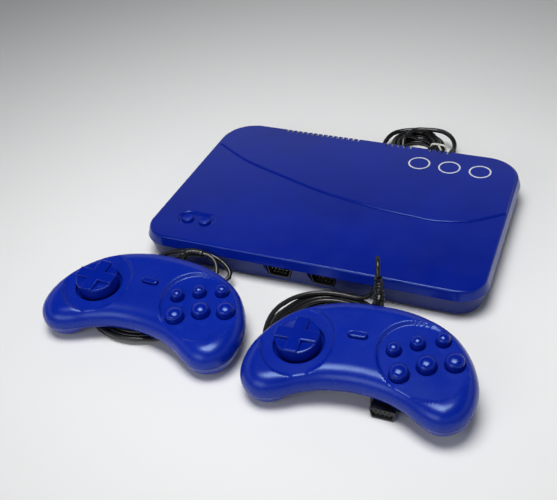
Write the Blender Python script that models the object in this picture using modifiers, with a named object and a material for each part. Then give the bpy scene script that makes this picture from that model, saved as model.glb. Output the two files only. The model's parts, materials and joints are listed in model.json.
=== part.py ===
"""Flat game console with two six-button control pads, each pad on its own cord.

The console lies at the back with its video cord coiled behind it. The two pads lie in
front, propped on the loose coils of their own cords. Sizes are in millimetres in the
console's own frame (X to the right, Y to the back, Z up, zero at the middle of the
front lip), and the root empty moves that frame so that the world origin is under the
middle of the whole set.
"""
import math

import bmesh
import bpy
from mathutils import Matrix, Vector

MM = 0.001
GAP = 0.3
SET_SHIFT = (7.6, -26.8, 0.0)

# Console: plan outline of the lip, then heights
LIP_HALF_FRONT = 126.0
LIP_HALF_BACK = 123.4
LIP_DEPTH = 168.5
FRONT_RADIUS = 19.0
BACK_RADIUS = 27.0
LIP_HEIGHT = 24.6
CROWN_HEIGHT = 25.7
PARTING_HEIGHT = 17.1
BASE_HEIGHT = 1.2
ROOF_INSIDE = 22.0
FLOOR_INSIDE = 3.6
BOARD_HEIGHT = 5.2
SOCKET_X = (-17.5, 15.5)
SOCKET_HEIGHT = 11.2
BUTTON_WELL = (-93.5, 27.0)
POWER_BUTTON_AT = (-100.5, 27.0)
RESET_BUTTON_AT = (-86.5, 27.0)
POWER_SOCKET_X = -62.0
GLAND_X = 62.0
GLAND_HEIGHT = 10.4
BACK_Y = LIP_DEPTH
# Cooling slots: first and last X of each row, and how many
VENT_ROWS = [(-73.0, -11.0, 15), (14.0, 33.0, 5), (50.0, 64.0, 4)]
VENT_SLOT = (2.0, 9.0, 8.5)
SCREW_PLACES = [(-98.0, 34.0), (98.0, 34.0), (-92.0, 136.0), (92.0, 136.0)]
FOOT_PLACES = [(-104.0, 18.0), (104.0, 18.0), (-98.0, 150.0), (98.0, 150.0)]

# Front edge of the lid's raised back, a long wave from the left side to the right
CROWN_WAVE = [
    (-122.2, 131.8), (-89.3, 112.1), (-54.2, 98.8), (-16.2, 86.0), (26.6, 77.0),
    (58.0, 73.4), (78.0, 72.4), (98.0, 77.6), (111.6, 86.0), (123.6, 95.6),
]

# Control pad: heights in its own frame (X to the right, Y to the back)
PAD_TOP = 24.0
PAD_PARTING = 12.4
PAD_ROOF_INSIDE = 20.4
ARCH = 5.5
LOBE_AT = (59.0, -25.0)
PAD_SCREWS = [(-30.0, 30.0), (30.0, 30.0)]
LARGE_BUTTON_RADIUS = 5.9
SMALL_BUTTON_RADIUS = 4.4
DPAD_AT = (-40.4, 2.7)
DPAD_RADIUS = 14.3
START_AT = (-5.1, 14.2)
DPAD_WELL = {"at": (-41.5, 3.5), "radii": (22.5, 26.5), "turn": 8.0}
BUTTON_BOWL = {"at": (37.5, 4.0), "radii": (31.0, 24.4), "turn": -43.0}
FACE_BUTTONS = {
    "button_x": (19.0, 8.5, SMALL_BUTTON_RADIUS, 28.0),
    "button_y": (32.0, 16.1, SMALL_BUTTON_RADIUS, 28.0),
    "button_z": (46.5, 21.5, SMALL_BUTTON_RADIUS, 28.0),
    "button_a": (26.5, -8.5, LARGE_BUTTON_RADIUS, 28.7),
    "button_b": (41.0, 0.8, LARGE_BUTTON_RADIUS, 28.7),
    "button_c": (56.8, 6.0, LARGE_BUTTON_RADIUS, 28.7),
}
# Right half of the pad's outline at the parting line, from the back to the front
PAD_HALF = [
    (0.0, 46.4), (20.0, 45.0), (36.0, 40.4), (48.0, 34.2), (57.6, 26.0), (66.4, 13.6),
    (72.0, 0.0), (73.6, -12.0), (72.2, -22.4), (67.8, -30.2), (60.2, -35.4),
    (51.6, -36.0), (42.0, -32.4), (32.0, -26.8), (20.0, -22.4), (8.0, -20.4),
    (0.0, -20.0),
]
PADS = {
    "left": {"at": (-84.4, -66.1, 3.6), "yaw": -3.3, "tilt": 6.3, "roll": 0.0},
    "right": {"at": (70.1, -78.2, 7.0), "yaw": 1.5, "tilt": 8.6, "roll": -2.4},
}

# Cords
PAD_CORD = 3.3
PAD_COIL_MEAN = 35.4
PAD_COIL_WIDE = 13.2
PAD_COIL_TALL = 6.6
PAD_COILS = {"left": (-97.0, -48.0), "right": (33.0, -44.0)}
RELIEF_ROUTES = {
    "left": [(-3.0, 47.2, 13.0), (-3.0, 51.4, 13.2), (-1.8, 55.2, 13.4),
             (1.2, 58.0, 13.4), (5.4, 59.3, 13.2), (9.6, 59.6, 12.8)],
    "right": [(-3.0, 47.2, 13.0), (-3.0, 51.8, 13.4), (-3.4, 55.8, 15.0),
              (-4.0, 59.0, 18.0), (-4.6, 61.2, 21.8), (-5.2, 62.4, 25.4)],
}
CORD_ROUTES = {
    "left": [(-70.9, -8.8, 22.8), (-66.0, -8.8, 22.0), (-61.6, -10.6, 19.6),
             (-58.4, -14.8, 16.2), (-57.0, -20.4, 13.0), (-57.0, -27.0, 10.2),
             (-57.8, -34.0, 8.9), (-58.6, -40.0, 8.8)],
    "right": [(62.1, -20.1, 42.1), (61.6, -18.6, 45.2), (60.8, -15.8, 48.2), (59.4, -11.6, 49.0),
              (58.2, -7.8, 46.6), (57.6, -5.4, 41.0), (57.2, -4.8, 33.0),
              (56.4, -4.8, 24.0), (54.4, -5.2, 15.4), (50.0, -6.6, 10.4),
              (43.0, -7.4, 8.8), (32.0, -7.2, 8.8), (20.0, -8.8, 8.8),
              (9.4, -13.4, 8.8), (1.0, -21.0, 8.8), (-4.6, -31.0, 8.8)],
}
TAIL_ROUTES = {
    "left": [(-131.6, -30.0, 8.8), (-126.2, -22.0, 8.8), (-118.6, -15.4, 9.4),
             (-109.0, -10.4, 12.4), (-98.0, -6.4, 16.6), (-86.0, -4.3, 19.4),
             (-74.0, -4.2, 20.0), (-64.0, -4.6, 18.0), (-55.6, -6.2, 14.0),
             (-50.6, -10.2, 10.6), (-50.6, -15.4, 9.0), (-55.0, -18.6, 8.8),
             (-61.0, -19.8, 8.8), (-66.0, -22.6, 8.8), (-69.8, -26.2, 8.8),
             (-73.2, -30.2, 8.9), (-77.2, -33.8, 7.2), (-81.2, -36.6, 5.0),
             (-83.2, -38.0, 4.5)],
    "right": [(76.6, -38.0, 1.9), (77.2, -32.0, 1.9), (81.4, -27.4, 1.9),
              (86.4, -28.4, 2.2), (89.0, -34.2, 3.2), (89.2, -43.0, 4.4),
              (89.2, -52.0, 4.6), (89.2, -66.1, 4.6)],
}
PLUGS = {"left": {"at": (-83.5, -38.2, 4.5), "turn": -150.0},
         "right": {"at": (89.2, -66.4, 4.6), "turn": -90.0}}
AV_CORD = 3.8
AV_COIL_AT = (29.5, 197.0)
AV_COIL_MEAN = 18.9
AV_COIL_WIDE = 12.4
AV_COIL_TALL = 11.2
AV_COIL_BASE = 0.8
AV_ROUTE = [
    (62.0, 193.0, 10.4), (61.8, 198.4, 10.6), (60.2, 204.2, 11.6), (56.0, 210.0, 13.2),
    (49.6, 213.8, 14.4), (42.4, 215.4, 14.4), (35.4, 214.8, 14.4), (28.8, 213.4, 14.4),
]
AV_TAIL = [(1.4, 190.6, 3.0), (0.6, 184.4, 3.2), (-3.4, 179.6, 4.0), (-9.7, 178.2, 4.8)]
AV_PLUG_AT = (-10.0, 178.2, 4.8)


def clear_scene():
    for item in list(bpy.data.objects):
        bpy.data.objects.remove(item, do_unlink=True)
    for group in list(bpy.data.collections):
        bpy.data.collections.remove(group)


def material(name, colour, roughness, metallic=0.0):
    made = bpy.data.materials.new(name)
    made.use_nodes = True
    shader = made.node_tree.nodes["Principled BSDF"]
    shader.inputs["Base Color"].default_value = (*colour, 1.0)
    shader.inputs["Roughness"].default_value = roughness
    shader.inputs["Metallic"].default_value = metallic
    return made


clear_scene()
PARTS = bpy.data.collections.new("game_console_set")
bpy.context.scene.collection.children.link(PARTS)

BLUE = material("blue_abs", (0.008, 0.022, 0.32), 0.22)
BUTTON_BLUE = material("button_blue_abs", (0.010, 0.028, 0.36), 0.25)
BLACK = material("black_abs", (0.012, 0.012, 0.013), 0.30)
PVC = material("black_pvc", (0.010, 0.010, 0.011), 0.32)
RUBBER = material("grey_silicone", (0.30, 0.31, 0.33), 0.70)
FOOT_RUBBER = material("black_rubber", (0.020, 0.020, 0.021), 0.85)
BOARD = material("green_board", (0.010, 0.110, 0.045), 0.45)
CHIP = material("black_epoxy", (0.015, 0.015, 0.016), 0.55)
STEEL = material("zinc_steel", (0.56, 0.57, 0.60), 0.35, 1.0)
PAPER = material("white_tie", (0.86, 0.86, 0.83), 0.60)


def empty(name, parent=None, matrix=None):
    made = bpy.data.objects.new(name, None)
    PARTS.objects.link(made)
    made.parent = parent
    if matrix is not None:
        made.matrix_local = matrix
    return made


def place(name, mesh, finish, parent, at=(0.0, 0.0, 0.0), turn=0.0):
    """Link a mesh as a named sub-part, at a point in millimetres under its parent."""
    if not mesh.materials:
        mesh.materials.append(finish)
    made = bpy.data.objects.new(name, mesh)
    PARTS.objects.link(made)
    made.parent = parent
    made.location = Vector(at) * MM
    made.rotation_euler = (0.0, 0.0, math.radians(turn))
    return made


def baked(maker):
    """Turn a temporary object, with its modifiers, into a plain mesh."""
    bpy.context.view_layer.update()
    graph = bpy.context.evaluated_depsgraph_get()
    mesh = bpy.data.meshes.new_from_object(maker.evaluated_get(graph))
    bpy.data.objects.remove(maker, do_unlink=True)
    return mesh


def temporary(mesh_or_curve):
    made = bpy.data.objects.new("maker", mesh_or_curve)
    bpy.context.scene.collection.objects.link(made)
    return made


def boolean(mesh, operation, cutters):
    """Cut or join meshes, one EXACT Boolean after another."""
    body = temporary(mesh)
    tools = []
    for cutter in cutters:
        tool = temporary(cutter)
        tool.hide_render = True
        tool.display_type = "WIRE"
        step = body.modifiers.new("cut", "BOOLEAN")
        step.operation = operation
        step.object = tool
        tools.append(tool)
    result = baked(body)
    for tool in tools:
        bpy.data.objects.remove(tool, do_unlink=True)
    result.materials.clear()
    return result


def loft(rings, fill_floor=None):
    """Skin closed rings of points, given in millimetres from the lowest to the highest."""
    count = len(rings[0])
    work = bmesh.new()
    rows = [[work.verts.new(Vector(point) * MM) for point in ring] for ring in rings]
    for low, high in zip(rows, rows[1:]):
        for i in range(count):
            j = (i + 1) % count
            work.faces.new((low[i], low[j], high[j], high[i]))
    if fill_floor:
        fill_floor(work, rows[0])
    else:
        work.faces.new(list(reversed(rows[0])))
    work.faces.new(rows[-1])
    bmesh.ops.recalc_face_normals(work, faces=work.faces)
    return finished(work)


def finished(work, smooth=35.0):
    mesh = bpy.data.meshes.new("piece")
    work.to_mesh(mesh)
    work.free()
    mesh.shade_smooth()
    mesh.set_sharp_from_angle(angle=math.radians(smooth))
    return mesh


def block(size, at=(0.0, 0.0, 0.0), bevel=0.0):
    """A box of the given size, centred on a point."""
    work = bmesh.new()
    bmesh.ops.create_cube(work, size=1.0)
    bmesh.ops.scale(work, vec=Vector(size) * MM, verts=work.verts)
    if bevel:
        bmesh.ops.bevel(work, geom=work.edges[:], offset=bevel * MM, segments=2,
                        profile=0.5, affect="EDGES")
    bmesh.ops.translate(work, vec=Vector(at) * MM, verts=work.verts)
    return finished(work)


def turned(profile, steps=20, at=(0.0, 0.0, 0.0)):
    """Turn a (radius, height) profile, listed from the top down its outer side."""
    mesh = bpy.data.meshes.new("profile")
    points = [(r * MM, 0.0, z * MM) for r, z in profile]
    mesh.from_pydata(points, [(i, i + 1) for i in range(len(points) - 1)], [])
    maker = temporary(mesh)
    screw = maker.modifiers.new("turn", "SCREW")
    screw.steps = steps
    screw.render_steps = steps
    screw.use_merge_vertices = True
    screw.merge_threshold = 0.00001
    result = baked(maker)
    result.transform(Matrix.Translation(Vector(at) * MM))
    result.shade_smooth()
    result.set_sharp_from_angle(angle=math.radians(35.0))
    return result


def closed_ring(profile, steps=26, at=(0.0, 0.0, 0.0)):
    """Turn a closed (radius, height) section into a ring."""
    mesh = bpy.data.meshes.new("section")
    points = [(r * MM, 0.0, z * MM) for r, z in profile]
    count = len(points)
    mesh.from_pydata(points, [(i, (i + 1) % count) for i in range(count)], [])
    maker = temporary(mesh)
    screw = maker.modifiers.new("turn", "SCREW")
    screw.steps = steps
    screw.render_steps = steps
    screw.use_merge_vertices = True
    screw.merge_threshold = 0.00001
    result = baked(maker)
    result.transform(Matrix.Translation(Vector(at) * MM))
    result.shade_smooth()
    return result


def smooth_route(points, spacing):
    """Points at an even spacing on a Catmull-Rom curve through the given points."""
    fine = spline(points, 16)
    total = sum((q - p).length for p, q in zip(fine, fine[1:]))
    count = max(3, round(total / spacing))
    even, walked, index = [fine[0]], 0.0, 0
    for k in range(1, count):
        goal = total * k / count
        while walked + (fine[index + 1] - fine[index]).length < goal:
            walked += (fine[index + 1] - fine[index]).length
            index += 1
        span = fine[index + 1] - fine[index]
        even.append(fine[index] + span * ((goal - walked) / span.length))
    even.append(fine[-1])
    return even


def tube(route, radii, resolution=2):
    """A tube along a route, with one radius or a list of them along it."""
    curve = bpy.data.curves.new("tube", "CURVE")
    curve.dimensions = "3D"
    curve.bevel_depth = MM
    curve.bevel_resolution = resolution
    curve.use_fill_caps = True
    line = curve.splines.new("POLY")
    line.points.add(len(route) - 1)
    for i, point in enumerate(route):
        line.points[i].co = (*(Vector(point) * MM), 1.0)
        line.points[i].radius = radii[i] if isinstance(radii, list) else radii
    mesh = baked(temporary(curve))
    work = bmesh.new()
    work.from_mesh(mesh)
    bmesh.ops.remove_doubles(work, verts=work.verts, dist=0.000001)
    bmesh.ops.recalc_face_normals(work, faces=work.faces)
    return finished(work)


# ---------------------------------------------------------------- outlines

def console_outline(grow, height, segments=7):
    """The console's tapered plan with rounded corners, offset outwards by grow."""
    corners = [
        (LIP_HALF_FRONT - FRONT_RADIUS, FRONT_RADIUS, FRONT_RADIUS, -90.0),
        (LIP_HALF_BACK - BACK_RADIUS, LIP_DEPTH - BACK_RADIUS, BACK_RADIUS, 0.0),
        (BACK_RADIUS - LIP_HALF_BACK, LIP_DEPTH - BACK_RADIUS, BACK_RADIUS, 90.0),
        (FRONT_RADIUS - LIP_HALF_FRONT, FRONT_RADIUS, FRONT_RADIUS, 180.0),
    ]
    ring = []
    for x, y, radius, first in corners:
        for step in range(segments + 1):
            angle = math.radians(first + 90.0 * step / segments)
            reach = radius + grow
            ring.append((x + reach * math.cos(angle), y + reach * math.sin(angle), height))
    return ring


def spline(points, steps):
    """A Catmull-Rom curve through the points, both ends kept."""
    knots = [Vector(p) for p in points]
    knots = [knots[0] * 2 - knots[1]] + knots + [knots[-1] * 2 - knots[-2]]
    curve = []
    for a, b, c, d in zip(knots, knots[1:], knots[2:], knots[3:]):
        for step in range(steps):
            t = step / steps
            curve.append(0.5 * (2 * b + (c - a) * t + (2 * a - 5 * b + 4 * c - d) * t ** 2
                                + (3 * b - a - 3 * c + d) * t ** 3))
    return curve + [knots[-2]]


def pad_outline(inset, count=44):
    """The pad's kidney outline, offset inwards along its normals."""
    mirrored = [(-x, y) for x, y in reversed(PAD_HALF[:-1])]
    half = spline([mirrored[-2]] + PAD_HALF + [mirrored[0]], 12)[12:-12]
    fine = half[:-1] + [Vector((-p.x, p.y)) for p in reversed(half[1:])]
    picked = [fine[round(k * len(fine) / count) % len(fine)] for k in range(count)]
    ring = []
    for i, point in enumerate(picked):
        along = (picked[(i + 1) % count] - picked[i - 1]).normalized()
        ring.append(point + Vector((along.y, -along.x)) * inset)
    return ring


def pad_arch(x, y):
    """How far the pad's underside is raised: nothing under the two front lobes."""
    reach = math.hypot(abs(x) - LOBE_AT[0], y - LOBE_AT[1])
    t = min(max((reach - 12.0) / 9.0, 0.0), 1.0)
    return ARCH * t * t * (3.0 - 2.0 * t)


def pad_ring(inset, height, arched=False):
    ring = []
    for point in reversed(pad_outline(inset)):
        lift = pad_arch(point.x, point.y) * (1.0 - height / PAD_PARTING) if arched else 0.0
        ring.append((point.x, point.y, height + lift))
    return ring


def arched_floor(height, spans=4):
    """Fill for a pad's lowest outline: rungs from its back to its front, on the arch."""
    def fill(work, row):
        count = len(row)
        reach = count // 4
        rungs = []
        for i in range(1 - reach, reach):
            back, front = row[-1 - i], row[(count // 2 - 1 + i) % count]
            rung = [back]
            for k in range(1, spans):
                spot = back.co.lerp(front.co, k / spans) / MM
                lift = pad_arch(spot.x, spot.y) * (1.0 - height / PAD_PARTING)
                rung.append(work.verts.new(Vector((spot.x, spot.y, height + lift)) * MM))
            rungs.append(rung + [front])
        for one, two in zip(rungs, rungs[1:]):
            for k in range(spans):
                work.faces.new((one[k], one[k + 1], two[k + 1], two[k]))
        for rung, tip in ((rungs[0], row[reach - 1]), (rungs[-1], row[-1 - reach])):
            for k in range(spans):
                work.faces.new((rung[k], rung[k + 1], tip))
    return fill


def oval(at, radii, turn, height, grow=0.0, count=32):
    ring = []
    tilt = math.radians(turn)
    for k in range(count):
        angle = 2.0 * math.pi * k / count
        x = (radii[0] + grow) * math.cos(angle)
        y = (radii[1] + grow) * math.sin(angle)
        ring.append((at[0] + x * math.cos(tilt) - y * math.sin(tilt),
                     at[1] + x * math.sin(tilt) + y * math.cos(tilt), height))
    return ring


def stadium(length, width, height, at=(0.0, 0.0), segments=6):
    """A slot outline: two half circles joined by straight sides along X."""
    ring = []
    radius = width / 2.0
    for side in (1.0, -1.0):
        for step in range(segments + 1):
            angle = math.radians(-90.0 + 180.0 * step / segments)
            ring.append((at[0] + side * (length / 2.0 - radius + radius * math.cos(angle)),
                         at[1] + side * radius * math.sin(angle), height))
    return ring


def d_outline(width, tall, y, at, flip=1.0):
    """A D-shaped connector outline in the XZ plane, wider at the top."""
    x, z = at
    half, rise, slope, cut = width / 2.0, tall / 2.0, tall * 0.18, 1.1
    half_points = [(half - cut, rise), (half, rise - cut), (half - slope, cut - rise),
                   (half - slope - cut, -rise)]
    points = half_points + [(-px, pz) for px, pz in reversed(half_points)]
    return [(x + px, y, z + pz * flip) for px, pz in points]


# ---------------------------------------------------------------- console

def along_y(radius, first, last, x, z, end_radius):
    """A round cutter or collar whose axis runs along Y."""
    length = last - first
    mesh = turned([(0.0, length), (end_radius, length), (radius, 0.0), (0.0, 0.0)], 20)
    mesh.transform(Matrix.Translation(Vector((x, first, z)) * MM)
                   @ Matrix.Rotation(math.radians(-90.0), 4, "X"))
    return mesh


def console_upper_shell():
    outer = loft([
        console_outline(2.0, PARTING_HEIGHT + 0.15),
        console_outline(0.5, 22.6),
        console_outline(0.0, 23.9),
        console_outline(-0.8, LIP_HEIGHT),
    ])
    wave = [(p.x, p.y) for p in spline(CROWN_WAVE, 3)]
    rim = [(x, y) for x, y, _ in console_outline(-1.2, 0.0) if y > LIP_DEPTH / 2]
    edge = wave + rim
    middle = Vector((0.0, 135.0))
    crown = loft([
        [(x, y, 22.6) for x, y in edge],
        [(x, y, CROWN_HEIGHT - 0.5) for x, y in edge],
        [(*(Vector(p) + (middle - Vector(p)).normalized() * 0.8), CROWN_HEIGHT) for p in edge],
    ])
    body = boolean(outer, "UNION", [crown])
    cavity = loft([
        console_outline(0.0, PARTING_HEIGHT - 2.0),
        console_outline(-0.6, PARTING_HEIGHT + 1.0),
        console_outline(-2.4, ROOF_INSIDE - 1.0),
        console_outline(-4.0, ROOF_INSIDE),
    ])
    well = loft([
        stadium(27.0, 14.5, LIP_HEIGHT - 1.8, BUTTON_WELL),
        stadium(30.5, 18.0, LIP_HEIGHT + 0.2, BUTTON_WELL),
    ])
    holes = [turned([(0.0, 30.0), (4.6, 30.0), (4.6, 15.0), (0.0, 15.0)], 20, (*at, 0.0))
             for at in (POWER_BUTTON_AT, RESET_BUTTON_AT)]
    slots = []
    for first, last, number in VENT_ROWS:
        for k in range(number):
            x = first + (last - first) * k / (number - 1)
            slots.append(block(VENT_SLOT, (x, BACK_Y + 1.2, LIP_HEIGHT - 0.4)))
    return boolean(body, "DIFFERENCE", [cavity, well] + holes + slots)


def console_lower_shell():
    outer = loft([
        console_outline(-4.6, BASE_HEIGHT),
        console_outline(-3.2, 2.4),
        console_outline(-1.4, 8.0),
        console_outline(1.3, PARTING_HEIGHT - 0.15),
    ])
    cavity = loft([
        console_outline(-7.0, FLOOR_INSIDE),
        console_outline(-4.0, 8.0),
        console_outline(-1.2, PARTING_HEIGHT + 1.0),
    ])
    ports = []
    for x in SOCKET_X:
        at = (x, SOCKET_HEIGHT)
        ports.append(loft([d_outline(20.4, 10.2, y, at) for y in (-6.0, 10.0)]))
    ports.append(block((9.8, 18.0, 11.6), (POWER_SOCKET_X, BACK_Y - 3.0, 10.4)))
    ports.append(along_y(5.2, BACK_Y - 12.0, BACK_Y + 8.0, GLAND_X, GLAND_HEIGHT, 5.2))
    for x, y in SCREW_PLACES:
        ports.append(turned([(0.0, 6.0), (1.7, 6.0), (1.7, 0.0), (0.0, 0.0)], 10,
                            (x, y, 0.0)))
    return boolean(outer, "DIFFERENCE", [cavity] + ports)


def controller_socket():
    """Nine-way plug for a pad's cord: D-shaped shroud on a flange, open to the front."""
    shroud = loft([d_outline(18.8, 9.2, y, (0.0, 0.0)) for y in (0.0, 9.6)])
    flange = block((30.0, 3.4, 9.6), (0.0, 10.8, 0.4))
    hollow = loft([d_outline(17.0, 7.4, y, (0.0, 0.0)) for y in (-1.0, 6.4)])
    body = boolean(shroud, "UNION", [flange])
    return boolean(body, "DIFFERENCE", [hollow])


def power_socket():
    """Barrel socket for the power supply, open to the back."""
    body = block((9.0, 13.0, 10.8), (0.0, -6.5, 0.0), 0.5)
    return boolean(body, "DIFFERENCE", [along_y(3.0, -9.0, 1.0, 0.0, 0.0, 3.0)])


def gland():
    """Moulded boot where the video cord leaves the back: grip, neck, tapered tail."""
    profile = [(0.0, 24.0), (2.7, 24.0), (3.1, 20.0), (3.6, 14.0), (4.3, 8.0), (4.8, 4.6),
               (5.8, 4.4), (5.8, 2.0), (4.9, 1.8), (4.9, -8.0), (0.0, -8.0)]
    mesh = turned(profile, 14)
    mesh.transform(Matrix.Rotation(math.radians(-90.0), 4, "X"))
    return mesh


def console_button(radius, top):
    return turned([(0.0, top), (radius * 0.7, top - 0.3), (radius, top - 1.5),
                   (radius, 21.6), (radius + 1.2, 21.6), (radius + 1.2, 20.4),
                   (radius - 0.6, 20.4), (radius - 0.6, 15.2), (0.0, 15.2)], 14)


def screw_piece():
    return turned([(0.0, 3.4), (1.3, 3.4), (1.3, 0.9), (2.4, 0.9), (2.4, 0.5), (2.0, 0.3),
                   (0.0, 0.3)], 12)


def coil(mean, wide, tall, base):
    """Outer shape of a wound cord: a turned ring with a soft-cornered section."""
    inner, outer, cut = mean - wide / 2.0, mean + wide / 2.0, tall * 0.22
    top = base + tall
    section = [(inner + cut, top), (outer - cut, top), (outer, top - cut),
               (outer, base + cut), (outer - cut, base), (inner + cut, base),
               (inner, base + cut), (inner, top - cut)]
    return closed_ring(section)


def cord_tie():
    """Paper-covered wire bent round the coil's section."""
    wide, tall = AV_COIL_WIDE + 2 * GAP, AV_COIL_TALL + 2 * GAP
    wall = 0.4
    outer = block((wide + 2 * wall, 3.2, tall + 2 * wall), (0.0, 0.0, 0.0), 0.4)
    return boolean(outer, "DIFFERENCE", [block((wide, 6.0, tall))])


def av_plug():
    """Moulded grip with a stepped metal pin, lying along X."""
    profile = [(0.0, 46.0), (0.9, 45.6), (1.75, 44.0), (1.75, 32.0), (3.2, 31.8),
               (4.3, 30.0), (4.5, 24.0), (4.5, 9.0), (3.6, 4.0), (2.9, 0.3), (0.0, 0.3)]
    mesh = turned(profile, 16)
    mesh.transform(Matrix.Rotation(math.radians(-90.0), 4, "Y"))
    return mesh


def build_console(frame):
    place("console_upper_shell", console_upper_shell(), BLUE, frame)
    place("console_lower_shell", console_lower_shell(), BLUE, frame)
    place("console_main_board", block((196.0, 118.0, 1.6), (0.0, 78.0, BOARD_HEIGHT)),
          BOARD, frame)
    place("console_processor_chip", block((26.0, 26.0, 2.4), (-8.0, 84.0, 7.6), 0.3),
          CHIP, frame)
    sides = ("left", "right")
    for side, x in zip(sides, SOCKET_X):
        place("controller_socket_" + side, controller_socket(), BLACK, frame,
              (x, 1.4, SOCKET_HEIGHT))
    place("power_socket", power_socket(), BLACK, frame, (POWER_SOCKET_X, BACK_Y + 0.2, 10.4))
    place("video_cord_gland", gland(), PVC, frame, (GLAND_X, BACK_Y, GLAND_HEIGHT))
    for name, at in (("power_button", POWER_BUTTON_AT), ("reset_button", RESET_BUTTON_AT)):
        place(name, console_button(4.2, 24.9), BUTTON_BLUE, frame, (*at, 0.0))
    foot = turned([(0.0, 0.9), (6.0, 0.9), (6.0, 0.3), (5.6, 0.0), (0.0, 0.0)], 20)
    for k, at in enumerate(FOOT_PLACES):
        place("foot_%d" % (k + 1), foot, FOOT_RUBBER, frame, (*at, 0.0))
    screw = screw_piece()
    for k, at in enumerate(SCREW_PLACES):
        place("console_screw_%d" % (k + 1), screw, STEEL, frame, (*at, 0.0))


def build_video_cord(frame):
    spacing = 2.4 * AV_CORD
    place("video_cord", tube(smooth_route(AV_ROUTE, spacing), AV_CORD / 2.0, 3), PVC, frame)
    ring = coil(AV_COIL_MEAN, AV_COIL_WIDE, AV_COIL_TALL, AV_COIL_BASE)
    place("video_cord_coil", ring, PVC, frame, (*AV_COIL_AT, 0.0))
    place("video_cord_tail", tube(smooth_route(AV_TAIL, spacing), AV_CORD / 2.0, 3), PVC,
          frame)
    place("video_cord_tie", cord_tie(), PAPER, frame,
          (AV_COIL_AT[0] + AV_COIL_MEAN, AV_COIL_AT[1], AV_COIL_BASE + AV_COIL_TALL / 2.0))
    place("video_plug", av_plug(), BLACK, frame, AV_PLUG_AT)


# ---------------------------------------------------------------- control pad

def pad_upper_shell():
    outer = loft([pad_ring(inset, height) for height, inset in (
        (PAD_PARTING + 0.15, 0.0), (16.0, 0.5), (19.0, 1.9), (21.4, 4.3), (23.1, 7.6),
        (PAD_TOP, 12.0))])
    cavity = loft([pad_ring(inset, height) for height, inset in (
        (PAD_PARTING - 1.0, 2.2), (16.0, 2.6), (19.0, 3.5), (PAD_ROOF_INSIDE, 4.6))])
    dish = loft([oval(height=z, grow=g, **DPAD_WELL) for z, g in ((22.4, 0.0), (24.6, 2.2))])
    bowl = loft([oval(height=z, grow=g, **BUTTON_BOWL) for z, g in ((22.4, 0.0), (24.6, 2.0))])
    hole = turned([(0.0, 30.0), (16.2, 30.0), (16.2, 15.0), (0.0, 15.0)], 28, (*DPAD_AT, 0.0))
    slot = loft([stadium(12.6, 5.2, z, START_AT) for z in (15.0, 30.0)])
    cuts = [cavity, dish, bowl, hole, slot]
    for x, y, radius, _ in FACE_BUTTONS.values():
        wide = radius + 0.4
        cuts.append(turned([(0.0, 30.0), (wide, 30.0), (wide, 15.0), (0.0, 15.0)], 16,
                           (x, y, 0.0)))
    cuts.append(along_y(3.9, 40.0, 60.0, -3.0, 13.0, 3.9))
    return boolean(outer, "DIFFERENCE", cuts)


def pad_lower_shell():
    outer = loft([pad_ring(inset, height, True) for height, inset in (
        (0.0, 9.0), (1.2, 5.8), (4.4, 2.4), (8.6, 0.6), (PAD_PARTING - 0.15, 0.0))],
        arched_floor(0.0))
    cavity = loft([pad_ring(inset, height, True) for height, inset in (
        (2.4, 10.5), (4.6, 6.0), (8.6, 3.0), (PAD_PARTING, 2.2))],
        arched_floor(2.4))
    lid = loft([pad_ring(2.2, PAD_PARTING - 0.5), pad_ring(2.2, PAD_PARTING + 2.0)])
    cuts = [cavity, lid, along_y(3.9, 40.0, 60.0, -3.0, 13.0, 3.9)]
    for x, y in PAD_SCREWS:
        low = pad_arch(x, y)
        cuts.append(turned([(0.0, 12.0), (1.7, 12.0), (1.7, low + 1.0), (3.1, low + 1.0),
                            (3.1, -3.0), (0.0, -3.0)], 12, (x, y, 0.0)))
    return boolean(outer, "DIFFERENCE", cuts)


def dpad():
    """Direction pad: dished disc with a raised cross, on a stem with a wide flange."""
    disc = turned([(0.0, 28.9), (6.0, 29.1), (12.6, 29.7), (DPAD_RADIUS - 0.3, 29.0),
                   (DPAD_RADIUS, 28.0), (DPAD_RADIUS, 21.2), (9.0, 20.9), (9.0, 18.5),
                   (17.0, 18.4), (17.0, 17.2), (0.0, 17.2)], 22)
    bars = []
    for long_x, long_y in ((26.6, 8.6), (8.6, 26.6)):
        bars.append(block((long_x, long_y, 3.4), (0.0, 0.0, 29.0), 0.45))
    return boolean(disc, "UNION", bars)


def face_button(radius, top):
    return turned([(0.0, top), (radius * 0.5, top - 0.45), (radius * 0.85, top - 1.5),
                   (radius, top - 2.9), (radius, 20.1), (radius + 0.9, 20.1),
                   (radius + 0.9, 16.8), (0.0, 16.8)], 14)


def start_button():
    return loft([
        stadium(13.4, 6.0, 16.8), stadium(13.4, 6.0, 20.1),
        stadium(11.8, 4.4, 20.1), stadium(11.8, 4.4, 24.2),
        stadium(11.0, 3.6, 24.8),
    ])


def pad_plug():
    """Cord's far end, lying along X: grip with ribs, then the D-shaped nose."""
    grip = block((20.0, 21.0, 8.8), (16.6, 0.0, 0.0), 1.2)
    nose = loft([d_outline(16.6, 7.6, y, (0.0, 0.0)) for y in (0.0, 8.8)])
    nose.transform(Matrix.Translation(Vector((26.4, 0.0, 0.0)) * MM)
                   @ Matrix.Rotation(math.radians(-90.0), 4, "Z"))
    boot = turned([(0.0, 8.0), (4.0, 8.0), (2.6, 0.3), (0.0, 0.3)], 12)
    boot.transform(Matrix.Rotation(math.radians(90.0), 4, "Y"))
    return boolean(grip, "UNION", [nose, boot])


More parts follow.
